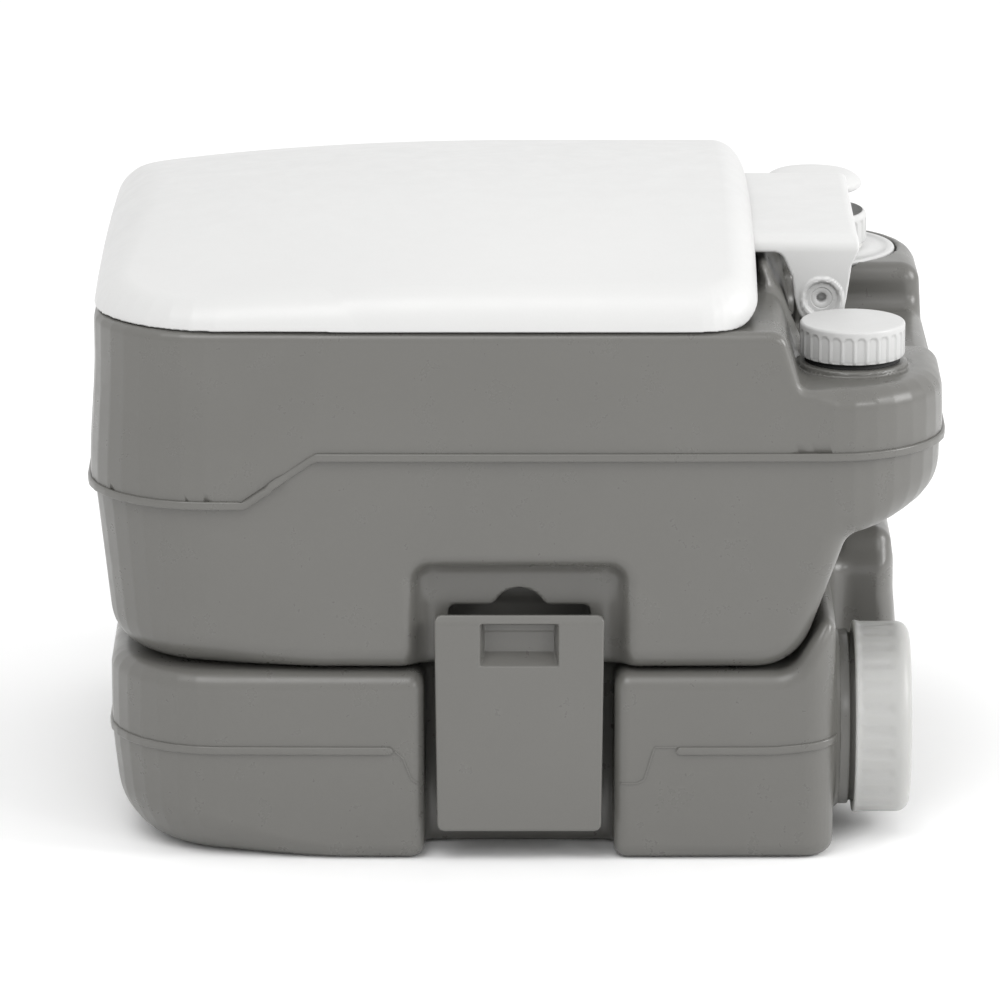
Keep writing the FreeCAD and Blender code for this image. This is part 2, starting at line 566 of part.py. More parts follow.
def route(points, bend):
    """A wire of straight runs joined by tangent arcs."""
    edges = []
    start = points[0]
    for before, corner, after in zip(points, points[1:], points[2:]):
        inward = (corner - before).normalize()
        outward = (after - corner).normalize()
        reach = bend * math.tan(inward.getAngle(outward) / 2)
        first, last = corner - inward * reach, corner + outward * reach
        lean = (outward - inward).normalize()
        depth = math.hypot(reach, bend) - bend
        middle = corner + lean * depth
        edges += [Part.LineSegment(start, first).toShape(),
                  Part.Arc(first, middle, last).toShape()]
        start = last
    edges.append(Part.LineSegment(start, points[-1]).toShape())
    return Part.Wire(edges)


def flush_pieces():
    """The hose from the pump to the rim of the bowl, and the nozzle in the bowl's wall."""
    low, high = dims.hose_height, dims.nozzle_height
    points = [FreeCAD.Vector(dims.pump_x + dims.barrel_radius, dims.pump_y, low),
              FreeCAD.Vector(0, dims.pump_y, low),
              FreeCAD.Vector(0, dims.nozzle_back + dims.hose_bend, low),
              FreeCAD.Vector(0, dims.nozzle_back + dims.hose_bend, high),
              FreeCAD.Vector(0, dims.nozzle_back, high)]
    spine = route(points, dims.hose_bend * 0.8)
    section = [Part.Wire(Part.Circle(points[0], FreeCAD.Vector(1, 0, 0), radius).toShape())
               for radius in (dims.hose_radius, dims.hose_radius - 1.5)]
    outside, inside = (spine.makePipeShell([wire], True, True) for wire in section)
    hose = doc.addObject("Part::Feature", "flush_hose")
    hose.Shape = outside.cut(inside)
    at = ("0", "nozzle_height")
    nozzle = ring("flush_nozzle", "Y", at, ("bowl_middle + bowl_half_y - 8", "nozzle_back"),
                  "hose_radius", "hose_radius - 2")
    return [hose, nozzle]


# ---- seat and lid -----------------------------------------------------------------------

def hinge_arm(name, low, top, rear, inner, outer):
    """One arm that reaches back over the pedestal and down to the hinge pin."""
    return prism(name, "YZ_Plane", [
        ("seat_rear - 5", low), ("pin_y - 16", low), ("pin_y - 11", "pin_height - 6"),
        ("pin_y", "arm_foot", "pin_radius"), ("pin_y + 11", "pin_height - 6"),
        ("pin_y + 9", "pin_height + 10"), (rear, top), ("seat_rear - 5", top)], inner, outer)


def oval_rod(name, margin, span):
    """An upright oval cylinder the size of the seat's opening, grown by a margin."""
    edge = doc.addObject("Part::Ellipse", name + "_edge")
    edge.Placement = FreeCAD.Placement(FreeCAD.Vector(),
                                       FreeCAD.Rotation(FreeCAD.Vector(0, 0, 1), 90))
    edge.setExpression("MajorRadius", bound("seat_hole_y + %s" % margin))
    edge.setExpression("MinorRadius", bound("seat_hole_x + %s" % margin))
    edge.setExpression(".Placement.Base.y", bound("bowl_middle"))
    edge.setExpression(".Placement.Base.z", bound(span[0]))
    item = doc.addObject("Part::Extrusion", name)
    item.Base = edge
    item.Dir = FreeCAD.Vector(0, 0, 1)
    item.setExpression("LengthFwd", bound("(%s) - (%s)" % (span[1], span[0])))
    item.Solid = True
    return item


def pad_group(name, places, across, span, radius):
    """A round pad at each place along the length, on both sides."""
    pads = []
    for along in places:
        pads += both_sides(name + "_pad", rod(name + "_pad", "Z", (across, along), span, radius))
    return fuse(name, pads)


SEAT_PAD_PLACES = ("seat_front + 40", "seat_rear - 30")
SEAT_PAD_ACROSS = "seat_half - 25"


def seat():
    side = [("seat_front", "seat_low", "", 1, 0), ("seat_rear", "seat_low", "", -1, 0),
            ("seat_rear", "seat_top", "", -1, -1),
            ("seat_front", "seat_top", "seat_round", 1, -1)]
    plan = [("-seat_half", "seat_front", "seat_plan_round", 1, 1),
            ("seat_half", "seat_front", "seat_plan_round", -1, 1),
            ("seat_half", "seat_rear", "plan_round/2", -1, -1),
            ("-seat_half", "seat_rear", "plan_round/2", 1, -1)]
    front = [("-seat_half", "seat_low", "", 1, 0), ("seat_half", "seat_low", "", -1, 0),
             ("seat_half", "seat_top", "seat_round", -1, -1),
             ("-seat_half", "seat_top", "seat_round", 1, -1)]
    opening = oval_rod("seat_hole", "0", ("seat_low - 1", "seat_top + 1"))
    rim = oval_rod("seat_hole_rim", "wall", ("seat_low - 1", "seat_top + 1"))
    hollow = cut("seat_hollow", three_way("seat_inner", side, plan, front, "wall"), [rim])
    disc = cut("seat_disc", three_way("seat_outer", side, plan, front, "0"), [hollow])
    bosses = pad_group("seat_boss", SEAT_PAD_PLACES, SEAT_PAD_ACROSS,
                       ("seat_low", "seat_top - wall/2"), "bumper_radius + 1")
    bridge = block("seat_bridge", ("-seat_arm_outer", "seat_arm_outer"),
                   ("seat_rear - 5", "pin_y + 3"), ("seat_arm_low", "seat_top"))
    arms = both_sides("seat_arm", hinge_arm("seat_arm", "seat_arm_low", "seat_top", "pin_y + 3",
                                            "seat_arm_inner", "seat_arm_outer"))
    bore = rod("seat_bore", "X", ("pin_y", "pin_height"), ("-lid_half", "lid_half"),
               "pin_radius + slack")
    return cut("seat", fuse("seat_solid", [disc, bosses, bridge] + arms), [opening, bore])


def seat_bumpers():
    return pad_group("seat_bumpers", SEAT_PAD_PLACES, SEAT_PAD_ACROSS, ("tank_top", "seat_low"),
                     "bumper_radius")


def lid():
    side = [("lid_front", "lid_low", "", 1, 0), ("lid_rear", "lid_low", "", -1, 0),
            ("lid_rear", "lid_top", "lid_tail_round", -1, -1),
            ("lid_front", "lid_front_top", "lid_nose_round*0.66", 1, -1)]
    plan = [("-lid_half", "lid_front", "plan_round", 1, 1),
            ("lid_half", "lid_front", "plan_round", -1, 1),
            ("lid_half", "lid_rear", "plan_round/2", -1, -1),
            ("-lid_half", "lid_rear", "plan_round/2", 1, -1)]
    front = [("-lid_half", "lid_low", "", 1, 0), ("lid_half", "lid_low", "", -1, 0),
             ("lid_half", "lid_top", "lid_side_round", -1, -1),
             ("-lid_half", "lid_top", "lid_side_round", 1, -1)]
    dome = cut("lid_dome", three_way("lid_outer", side, plan, front, "0"),
               [three_way("lid_inner", side, plan, front, "lid_skin")])
    back_gate = block("lid_back_gate", ("-pedestal_half - 2", "pedestal_half + 2"),
                      ("lid_rear - 8", "lid_rear + 4"), ("lid_low - 1", "tongue_low - 0.5"))
    bridge_gate = block("lid_bridge_gate", ("-seat_arm_outer - 1.5", "seat_arm_outer + 1.5"),
                        ("lid_rear - 8", "lid_rear + 4"), ("lid_low - 1", "seat_top + 0.5"))
    tongue = block("lid_tongue", ("-lid_arm_outer", "lid_arm_outer"), ("lid_rear - 2", "tongue_rear"),
                   ("tongue_top - tongue_skin", "tongue_top"))
    arm = hinge_arm("lid_arm", "tongue_low", "tongue_top", "tongue_rear", "lid_arm_inner",
                    "lid_arm_outer")
    behind = block("lid_arm_keep", ("-half_width", "half_width"), ("lid_rear - 2", "tank_rear"),
                   ("valley_floor", "lid_top"))
    arms = both_sides("lid_arm_cut", common("lid_arm_cut", [arm, behind]))
    bore = rod("lid_bore", "X", ("pin_y", "pin_height"), ("-lid_half", "lid_half"),
               "pin_radius + slack")
    return cut("lid", fuse("lid_solid", [cut("lid_open_dome", dome, [back_gate, bridge_gate]),
                                         tongue] + arms), [bore])


def lid_bumpers():
    return pad_group("lid_bumpers", ("seat_front + 50", "seat_rear - 40"), "seat_half - 35",
                     ("seat_top", "lid_front_top - 1"), "bumper_radius")


def hinge_pins():
    at = ("pin_y", "pin_height")
    pin = cut("hinge_pin_left", rod("hinge_pin_shaft", "X", at, ("pin_inner", "pin_outer"),
                                    "pin_radius"),
              [rod("hinge_pin_socket", "X", at, ("pin_outer - pin_socket_deep", "pin_outer + 1"),
                   "pin_socket")])
    return [pin, mirror("hinge_pin_right", pin)]


pieces = ([lower_tank()] + valve_pieces() + waste_cap_pieces() + latch_pieces()
          + upper_tank() + [bowl()] + fill_cap_pieces() + pump_pieces() + flush_pieces()
          + [seat(), seat_bumpers(), lid(), lid_bumpers()] + hinge_pins())
doc.recompute()

faults = [item.Name for item in doc.Objects
          if any(word in state for state in item.State for word in ("Invalid", "Error"))]
for piece in pieces:
    if piece.Shape.isNull() or not piece.Shape.isValid() or piece.Shape.Volume < 1:
        faults.append(piece.Name + " shape")
if faults:
    raise RuntimeError("failed: " + ", ".join(faults))
for piece in pieces:
    piece.Label = piece.Name
    piece.Shape.exportStep("parts/%s.step" % piece.Label)
    print("%-20s %2d solids %9.1f mm3" % (piece.Label, len(piece.Shape.Solids),
                                          piece.Shape.Volume))
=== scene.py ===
import json
import math

import bpy
import numpy as np
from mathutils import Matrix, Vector


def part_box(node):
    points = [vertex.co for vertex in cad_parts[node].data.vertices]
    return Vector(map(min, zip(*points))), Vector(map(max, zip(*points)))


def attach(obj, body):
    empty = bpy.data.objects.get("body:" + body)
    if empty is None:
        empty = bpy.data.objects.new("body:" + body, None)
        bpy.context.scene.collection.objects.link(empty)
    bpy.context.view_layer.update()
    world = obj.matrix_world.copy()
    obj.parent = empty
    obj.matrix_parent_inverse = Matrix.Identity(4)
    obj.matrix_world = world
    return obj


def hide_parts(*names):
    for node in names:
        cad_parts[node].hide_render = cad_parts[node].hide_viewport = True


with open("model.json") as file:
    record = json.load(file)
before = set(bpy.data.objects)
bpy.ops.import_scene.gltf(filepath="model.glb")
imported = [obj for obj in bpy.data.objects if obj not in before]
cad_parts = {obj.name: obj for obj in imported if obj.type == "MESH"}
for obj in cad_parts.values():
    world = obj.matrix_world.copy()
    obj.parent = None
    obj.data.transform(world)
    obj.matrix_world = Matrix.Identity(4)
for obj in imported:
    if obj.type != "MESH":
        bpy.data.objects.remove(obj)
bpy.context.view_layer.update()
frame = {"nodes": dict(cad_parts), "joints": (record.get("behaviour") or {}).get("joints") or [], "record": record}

# The looks of the portable camp toilet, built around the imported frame. Shapes are worked out
# in millimetres, in the frame's axes: front at -Y, sitter's left at +X, +Z up.

MM = 0.001
COARSE = 1.0
SIDES = ((1, "left"), (-1, "right"))
FAR = 330


def place(joint_name):
    """A joint's anchor in millimetres."""
    joint = next(item for item in frame["joints"] if item["name"] == joint_name)
    return [value / MM for value in joint["pos_m"]]


def span(node):
    """A CAD node's lowest and highest corners in millimetres."""
    low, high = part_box(node)
    return np.array(low) / MM, np.array(high) / MM


TANK_LOW, TANK_HIGH = span("upper_tank_base")[0], span("upper_tank")[1]
BASE_LOW, BASE_HIGH = span("lower_tank")
PIN_Y, PIN_Z = place("seat_hinge")[1:]
FILL_X, FILL_Y, FILL_Z = place("fill_cap_turn")
SPOUT_X, _, SPOUT_Z = place("waste_cap_turn")
LATCH_X, LATCH_Y, LATCH_Z = place("latch_left_hinge")
PUMP_X, PUMP_Y = [(low + high) / 2 for low, high in zip(*span("pump_rod"))][:2]
HALF_WIDTH = BASE_HIGH[0]
SHELF_Z = span("pump_plate")[0][2]
DECK_Z = span("seat_bumpers")[0][2]


# ---- rounding and blending of signed distances, in millimetres ---------------------------

def ramp(value, start, end):
    """0 before start, 1 after end, and a smooth rise between."""
    share = np.clip((value - start) / (end - start), 0, 1)
    return share * share * (3 - 2 * share)


def both(a, b, radius=0.01):
    """What two solids share, with the edge between them rounded."""
    u = np.maximum(a + radius, 0)
    v = np.maximum(b + radius, 0)
    return np.minimum(-radius, np.maximum(a, b)) + np.sqrt(u * u + v * v)


def either(a, b, radius=0.01):
    """Two solids joined, with a fillet in the corner between them."""
    u = np.maximum(radius - a, 0)
    v = np.maximum(radius - b, 0)
    return np.maximum(radius, np.minimum(a, b)) - np.sqrt(u * u + v * v)


def without(a, b, radius=0.01):
    """The first solid less the second, with the edge rounded."""
    return both(a, -b, radius)


def slab(value, low, high):
    """Distance to the space between two planes."""
    return np.abs(value - (low + high) / 2) - (high - low) / 2


def brick(x, y, z, radius=0.01):
    """A box from three slab distances, with its edges rounded."""
    return both(both(x, y, radius), z, radius)


def round_corners(corners, steps=8):
    """Points along a closed outline whose (a, b, radius) corners are rounded by arcs."""
    points = []
    count = len(corners)
    for index, corner in enumerate(corners):
        here = np.array(corner[:2], float)
        if len(corner) < 3:
            points.append(here)
            continue
        before = np.array(corners[index - 1][:2], float) - here
        after = np.array(corners[(index + 1) % count][:2], float) - here
        before /= np.linalg.norm(before)
        after /= np.linalg.norm(after)
        half = math.acos(float(np.clip(before @ after, -1, 1))) / 2
        middle = (before + after) / np.linalg.norm(before + after)
        centre = here + middle * corner[2] / math.sin(half)
        reach = corner[2] / math.tan(half)
        first = here + before * reach - centre
        last = here + after * reach - centre
        sweep = math.atan2(first[0] * last[1] - first[1] * last[0], first @ last)
        for step in range(steps + 1):
            angle = sweep * step / steps
            c, s = math.cos(angle), math.sin(angle)
            points.append(centre + (first[0] * c - first[1] * s, first[0] * s + first[1] * c))
    return np.array(points)


class Outline:
    """Signed distance to a closed outline, kept as a fine table and read smoothly."""

    def __init__(self, corners, low, high, pitch=0.8):
        self.points = round_corners(corners)
        self.low, self.pitch = np.array(low, float), pitch
        counts = [int((h - l) / pitch) + 2 for l, h in zip(low, high)]
        a = (low[0] + pitch * np.arange(counts[0]))[:, None]
        b = (low[1] + pitch * np.arange(counts[1]))[None, :]
        nearest = np.full(counts, 1e9)
        sign = np.ones(counts)
        for start, end in zip(self.points, np.roll(self.points, -1, axis=0)):
            run = end - start
            if run @ run < 1e-12:
                continue
            da, db = a - start[0], b - start[1]
            share = np.clip((da * run[0] + db * run[1]) / (run @ run), 0, 1)
            nearest = np.minimum(nearest, (da - run[0] * share) ** 2 + (db - run[1] * share) ** 2)
            above, below = b >= start[1], b < end[1]
            left = run[0] * db > run[1] * da
            crossed = (above & below & left) | (~above & ~below & ~left)
            sign = np.where(crossed, -sign, sign)
        self.table = (sign * np.sqrt(nearest)).astype(np.float32)

    def __call__(self, a, b):
        a, b = np.broadcast_arrays(np.asarray(a, np.float32), np.asarray(b, np.float32))
        rows, columns = self.table.shape
        u = np.clip((a - self.low[0]) / self.pitch, 0, rows - 1.001)
        v = np.clip((b - self.low[1]) / self.pitch, 0, columns - 1.001)
        i, j = u.astype(int), v.astype(int)
        u, v = u - i, v - j
        t = self.table
        near = t[i, j] * (1 - u) + t[i + 1, j] * u
        far = t[i, j + 1] * (1 - u) + t[i + 1, j + 1] * u
        return near * (1 - v) + far * v


# ---- meshes ------------------------------------------------------------------------------

SETTLE_ROUNDS = 3
SLOPE_REACH = 0.8
SLICE = 24
LEAST = 1e-6
AXIS = 0.01
CORNERS = [(i, j, k) for i in (0, 1) for j in (0, 1) for k in (0, 1)]
CELL_EDGES = [(a, b) for a in range(8) for b in range(a + 1, 8)
              if sum(abs(p - q) for p, q in zip(CORNERS[a], CORNERS[b])) == 1]


def slope_of(field, points, reach):
    """The direction in which a field grows fastest, at each point."""
    slope = np.empty_like(points)
    for axis in range(3):
        step = np.zeros(3)
        step[axis] = reach
        ahead, behind = points + step, points - step
        slope[:, axis] = field(*ahead.T) - field(*behind.T)
    return slope / (2 * reach)


def settle(field, points, reach):
    """Points moved on to the surface where the field is zero."""
    for _ in range(SETTLE_ROUNDS):
        value = field(*points.T)
        slope = slope_of(field, points, reach * 0.2)
        step = value[:, None] * slope / np.maximum((slope ** 2).sum(1), 0.2)[:, None]
        points = points - np.clip(step, -reach * 0.6, reach * 0.6)
    return points


def new_object(name, points, faces):
    """A smooth-shaded mesh object from points in millimetres."""
    mesh = bpy.data.meshes.new(name)
    mesh.from_pydata((np.asarray(points) * MM).tolist(), [], faces)
    mesh.shade_smooth()
    item = bpy.data.objects.new(name, mesh)
    bpy.context.scene.collection.objects.link(item)
    return item


def applied(item):
    """The object with its modifiers made permanent."""
    graph = bpy.context.evaluated_depsgraph_get()
    mesh = bpy.data.meshes.new_from_object(item.evaluated_get(graph))
    old = item.data
    item.modifiers.clear()
    item.data = mesh
    bpy.data.meshes.remove(old)
    return item


def moulded(name, field, low, high, step, most_faces=150000, thin=False):
    """A closed mesh of the surface where a signed distance is zero, thinned to
    most_faces triangles."""
    step = step * (1 if thin else COARSE)
    low = np.array(low, float)
    counts = [int(math.ceil((h - l) / step)) + 1 for l, h in zip(low, high)]
    x, y, z = [(low[n] + step * np.arange(counts[n])).astype(np.float32) for n in range(3)]
    value = np.empty(counts, np.float32)
    for start in range(0, counts[0], SLICE):
        part = slice(start, start + SLICE)
        value[part] = field(x[part, None, None], y[None, :, None], z[None, None, :])
    inside = value < 0
    cells = [n - 1 for n in counts]
    filled = np.zeros(cells, np.uint8)
    for i, j, k in CORNERS:
        filled += inside[i:i + cells[0], j:j + cells[1], k:k + cells[2]]
    active = (filled > 0) & (filled < 8)
    where = np.argwhere(active)
    number = np.full(cells, -1, np.int64)
    number[active] = np.arange(len(where))
    at = [value[where[:, 0] + i, where[:, 1] + j, where[:, 2] + k] for i, j, k in CORNERS]
    total, hits = np.zeros((len(where), 3)), np.zeros(len(where))
    for a, b in CELL_EDGES:
        crossing = (at[a] < 0) != (at[b] < 0)
        share = np.where(crossing, at[a] / np.where(crossing, at[a] - at[b], 1), 0)
        first, last = np.array(CORNERS[a], float), np.array(CORNERS[b], float)
        total += np.where(crossing[:, None], first + share[:, None] * (last - first), 0)
        hits += crossing
    points = low + step * (where + total / hits[:, None])
    points = settle(field, points, step)
    faces = []
    for axis in range(3):
        b, c = (axis + 1) % 3, (axis + 2) % 3
        first = [slice(1, -1)] * 3
        first[axis] = slice(0, -1)
        second = list(first)
        second[axis] = slice(1, None)
        outward = inside[tuple(first)] & ~inside[tuple(second)]
        inward = ~inside[tuple(first)] & inside[tuple(second)]
        for found, flip in ((outward, False), (inward, True)):
            start = np.argwhere(found)
            start[:, b] += 1
            start[:, c] += 1
            ring = []
            for db, dc in ((-1, -1), (0, -1), (0, 0), (-1, 0)):
                cell = start.copy()
                cell[:, b] += db
                cell[:, c] += dc
                ring.append(number[cell[:, 0], cell[:, 1], cell[:, 2]])
            quads = np.stack(ring[::-1] if flip else ring, 1)
            faces.append(quads)
    faces = np.concatenate(faces)
    item = new_object(name, points, faces.tolist())
    if 2 * len(faces) > most_faces:
        fewer = item.modifiers.new("fewer", "DECIMATE")
        fewer.ratio = most_faces / (2 * len(faces))
        applied(item)
    set_normals(item, field, step)
    return item


def set_normals(item, field, reach):
    """Shading normals taken from the field, so that flat and round areas shade cleanly."""
    mesh = item.data
    points = np.empty(len(mesh.vertices) * 3, np.float32)
    mesh.vertices.foreach_get("co", points)
    slope = slope_of(field, points.reshape(-1, 3) / MM, reach * 0.35)
    slope /= np.maximum(np.linalg.norm(slope, axis=1), LEAST)[:, None]
    mesh.shade_smooth()
    mesh.normals_split_custom_set_from_vertices(slope.tolist())


def woven(name, rows, caps=True):
    """A mesh from rows of points; each row is a ring, and caps fills the end rows."""
    rows = np.asarray(rows, float)
    count, around = rows.shape[:2]
    points = rows.reshape(-1, 3)
    faces = []
    for row in range(count - 1):
        for step in range(around):
            after = (step + 1) % around
            faces.append((row * around + step, row * around + after,
                          (row + 1) * around + after, (row + 1) * around + step))
    if caps:
        faces.append(tuple(range(around))[::-1])
        faces.append(tuple((count - 1) * around + step for step in range(around)))
    return new_object(name, points, faces)


def turned(name, profile, centre, axis="z", around=96, ripple=None):
    """A piece turned about an axis from (radius, height) points; ripple(turn, r, h) may
    change a radius. A profile that starts and ends on the axis closes itself."""
    turns = np.arange(around) * 2 * math.pi / around
    rows = []
    for radius, height in profile:
        radii = np.full(around, float(radius))
        if ripple is not None:
            radii = radii + ripple(turns, radius, height)
        flat = np.stack([radii * np.cos(turns), radii * np.sin(turns),
                         np.full(around, float(height))], 1)
        if axis == "y":
            flat = flat[:, [1, 2, 0]]
        if axis == "x":
            flat = flat[:, [2, 0, 1]]
        rows.append(flat + np.array(centre))
    ring = profile[0] == profile[-1]
    return woven(name, rows, caps=not ring)


def bead(name, line, outward, section, closed=False):
    """A thin raised line on a surface: a section of (out, along the wall) points is carried
    along a line, with each point's outward direction. An open line gets rounded ends."""
    line, outward = np.asarray(line, float), np.asarray(outward, float)
    if closed:
        ahead = np.roll(line, -1, axis=0) - np.roll(line, 1, axis=0)
        width = np.ones(len(line))
    else:
        ahead = np.gradient(line, axis=0)
        run = np.concatenate([[0], np.cumsum(np.linalg.norm(np.diff(line, axis=0), axis=1))])
        half = max(along for out, along in section)
        from_end = np.minimum(np.minimum(run, run[-1] - run) / half, 1)
        width = np.sqrt(1 - 0.96 * (1 - from_end) ** 2)
    ahead /= np.linalg.norm(ahead, axis=1)[:, None]
    outward = outward - (outward * ahead).sum(1)[:, None] * ahead
    outward /= np.linalg.norm(outward, axis=1)[:, None]
    side = np.cross(ahead, outward) * width[:, None]
    rows = [line + outward * out + side * along for out, along in section]
    rows = np.stack(rows, 1)
    if closed:
        rows = np.concatenate([rows, rows[:1]])
    return woven(name, rows, caps=not closed)


# ---- the flush-water tank's shape --------------------------------------------------------

TANK_FLOOR = TANK_LOW[2]
TANK_TAPER_LIMIT = 90
WALL_RIB_FRONT, WALL_RIB_REAR = 178.6, 202.6
RIB_STEP_START, RIB_STEP_LENGTH = -131, 35
STERN_FOOT_Y, STERN_FOOT_Z = 159.5, 161
BOWL_FOOT, BOWL_MOUTH_X, BOWL_MOUTH_Y = 44, 105, 125
BOWL_FOOT_Y, BOWL_MOUTH_MIDDLE = -30, -44
BOWL_RIM = 7
PEDESTAL_HALF, PEDESTAL_TOP = 90, 277
FILL_RECESS, PUMP_RECESS = 29, 44
FILL_RING, FILL_RING_RISE = 27, 2.2
FILL_NECK, FILL_NECK_TOP, FILL_BORE = 20, 255, 17
VALLEY_HALF, VALLEY_FRONT, VALLEY_FLOOR = 78, 137, 215
EAR_INNER, EAR_OUTER, EAR_RADIUS, EAR_FLOOR, EAR_HOLE = 30, 46, 9, 205, 4.9
DISH_DEPTH, DISH_HALF, DISH_TOP = 14, 50.5, 147
SLOT_REACH, SLOT_HALF, SLOT_TOP = 150, 34.5, 125.5
NOTCH_REACH, NOTCH_RADIUS, NOTCH_Z = 152, 13.2, 120.6
LEDGE_INNER, LEDGE_OUTER, LEDGE_HALF, LEDGE_LOW, LEDGE_HIGH = 140, 167, 32, 108, 113.5

TANK_PLAN = Outline([
    (-HALF_WIDTH, TANK_LOW[1] - 1, 56), (HALF_WIDTH, TANK_LOW[1] - 1, 56),
    (HALF_WIDTH, TANK_HIGH[1], 54), (-HALF_WIDTH, TANK_HIGH[1], 54)],
    (-240, -270), (240, 270))
TANK_SIDE = Outline([
    (-FAR, TANK_FLOOR), (135.5, TANK_FLOOR, 28), (STERN_FOOT_Y, STERN_FOOT_Z, 10),
    (275, 185), (275, SHELF_Z - 0.5), (VALLEY_FRONT, SHELF_Z - 0.5, 6), (128, DECK_Z, 8.5),
    (-FAR, DECK_Z)], (-270, 40), (270, 320))
PEDESTAL = Outline([
    (118.5, 250), (118.5, PEDESTAL_TOP, 4), (122, PEDESTAL_TOP, 4), (133, 252, 14), (141, 236),
    (141, 200), (118.5, 200)], (60, 180), (220, 320))


def rib_height(y):
    """Height of the moulded rib round the upper tank: it steps up behind the front."""
    share = np.clip((y - RIB_STEP_START) / RIB_STEP_LENGTH, 0, 1)
    return WALL_RIB_FRONT + (WALL_RIB_REAR - WALL_RIB_FRONT) * share


def bowed(outline, x, y, bow=0.010):
    """An outline whose long sides bulge a little in the middle."""
    return outline(x * (1 + bow * (y / 206) ** 2), y * (1 + 0.6 * bow * (x / HALF_WIDTH) ** 2))


def bowl_wall(x, y, z):
    """Distance to the bowl's inside surface, a funnel that widens from foot to mouth."""
    rise = np.clip((z - TANK_FLOOR) / (DECK_Z - TANK_FLOOR), 0, 1.1) ** 0.9
    half_x = BOWL_FOOT + (BOWL_MOUTH_X - BOWL_FOOT) * rise
    half_y = BOWL_FOOT + (BOWL_MOUTH_Y - BOWL_FOOT) * rise
    middle = BOWL_FOOT_Y + (BOWL_MOUTH_MIDDLE - BOWL_FOOT_Y) * rise
    return (np.sqrt((x / half_x) ** 2 + ((y - middle) / half_y) ** 2) - 1) * half_x * 0.9


def upper_tank_body(x, y, z):
    """The tank's outer walls with their draft, without any recess."""
    below = np.clip(rib_height(y) - z, -100, 100)
    fore = ramp(y, -90, -190)
    tuck = (0.022 + 0.09 * fore) * np.clip(below - 2, 0, TANK_TAPER_LIMIT)
    draft = np.where(below > 0, -0.6 - tuck - fore, 0.6 - 2.6 * ramp(-below, 8, 64))
    plan = bowed(TANK_PLAN, x, y) - draft
    pump_boss = 3.2 * ramp(-x, 70, 84) * ramp(y, 136, 148) * ramp(z, 205, 228)
    side = TANK_SIDE(y, z - pump_boss)
    foot = 12 + 8 * fore + 8 * ramp(y, 165, 192)
    edge = 4.5 + (foot - 4.5) * ramp(z, 228, 190) + 5 * ramp(y, 142, 156) * ramp(z, 200, 225)
    return both(plan, side, edge)


def upper_tank_field(x, y, z):
    """The whole tank: walls, pedestal, shelf recesses, hinge ears, latch ledges and bowl."""
    across = np.abs(x)
    along = np.abs(y - LATCH_Y)
    from_fill = np.hypot(x - FILL_X, y - FILL_Y)
    from_pump = np.hypot(x - PUMP_X, y - PUMP_Y)
    from_pin = np.hypot(y - PIN_Y, z - PIN_Z)
    solid = upper_tank_body(x, y, z)
    pedestal = both(slab(across, -PEDESTAL_HALF, PEDESTAL_HALF), PEDESTAL(y, z), 7)
    solid = either(solid, both(pedestal, slab(z, 200, PEDESTAL_TOP), 4), 5)
    solid = without(solid, both(from_fill - FILL_RECESS, SHELF_Z - z, 3), 3)
    solid = without(solid, both(from_pump - PUMP_RECESS, SHELF_Z - z, 0.5), 0.8)
    valley = both(both(across - VALLEY_HALF, VALLEY_FRONT - y, 8), VALLEY_FLOOR - z, 9)
    solid = without(solid, valley, 8)
    ear_stem = both(slab(y, PIN_Y - EAR_RADIUS, PIN_Y + EAR_RADIUS),
                    slab(z, EAR_FLOOR, PIN_Z), 0.1)
    ear_side = either(from_pin - EAR_RADIUS, ear_stem, 0.1)
    ears = both(both(slab(across, EAR_INNER, EAR_OUTER), ear_side, 1.5), 200 - z)
    solid = either(solid, ears, 4)
    dish = both(both(HALF_WIDTH - DISH_DEPTH - across, along - DISH_HALF, 8), z - DISH_TOP, 8)
    solid = without(solid, dish, 7)
    notch = both(np.hypot(y - LATCH_Y, z - NOTCH_Z) - NOTCH_RADIUS, NOTCH_REACH - across)
    slot = both(both(SLOT_REACH - across, along - SLOT_HALF, 4), z - SLOT_TOP, 4)
    solid = without(solid, either(slot, notch, 2), 1.0)
    ledge = brick(slab(across, LEDGE_INNER, LEDGE_OUTER), along - LEDGE_HALF,
                  slab(z, LEDGE_LOW, LEDGE_HIGH), 1.2)
    solid = either(solid, ledge, 1.5)
    ring = both(from_fill - FILL_RING, slab(z, SHELF_Z - 6, SHELF_Z + FILL_RING_RISE), 1.2)
    solid = either(solid, ring, 1.5)
    neck = both(from_fill - FILL_NECK, slab(z, SHELF_Z - 4, FILL_NECK_TOP), 0.8)
    solid = either(solid, neck, 2)
    solid = without(solid, both(from_fill - FILL_BORE, slab(z, 200, 300)), 0.8)
    solid = without(solid, both(from_pin - EAR_HOLE, slab(across, 27, 50)))
    bowl = bowl_wall(x, y, z)
    rim = np.maximum(bowl - BOWL_RIM, slab(z, DECK_Z - 4, DECK_Z + 1.6))
    solid = either(solid, rim, 2)
    return without(solid, bowl, 3)


# ---- the waste tank's shape --------------------------------------------------------------

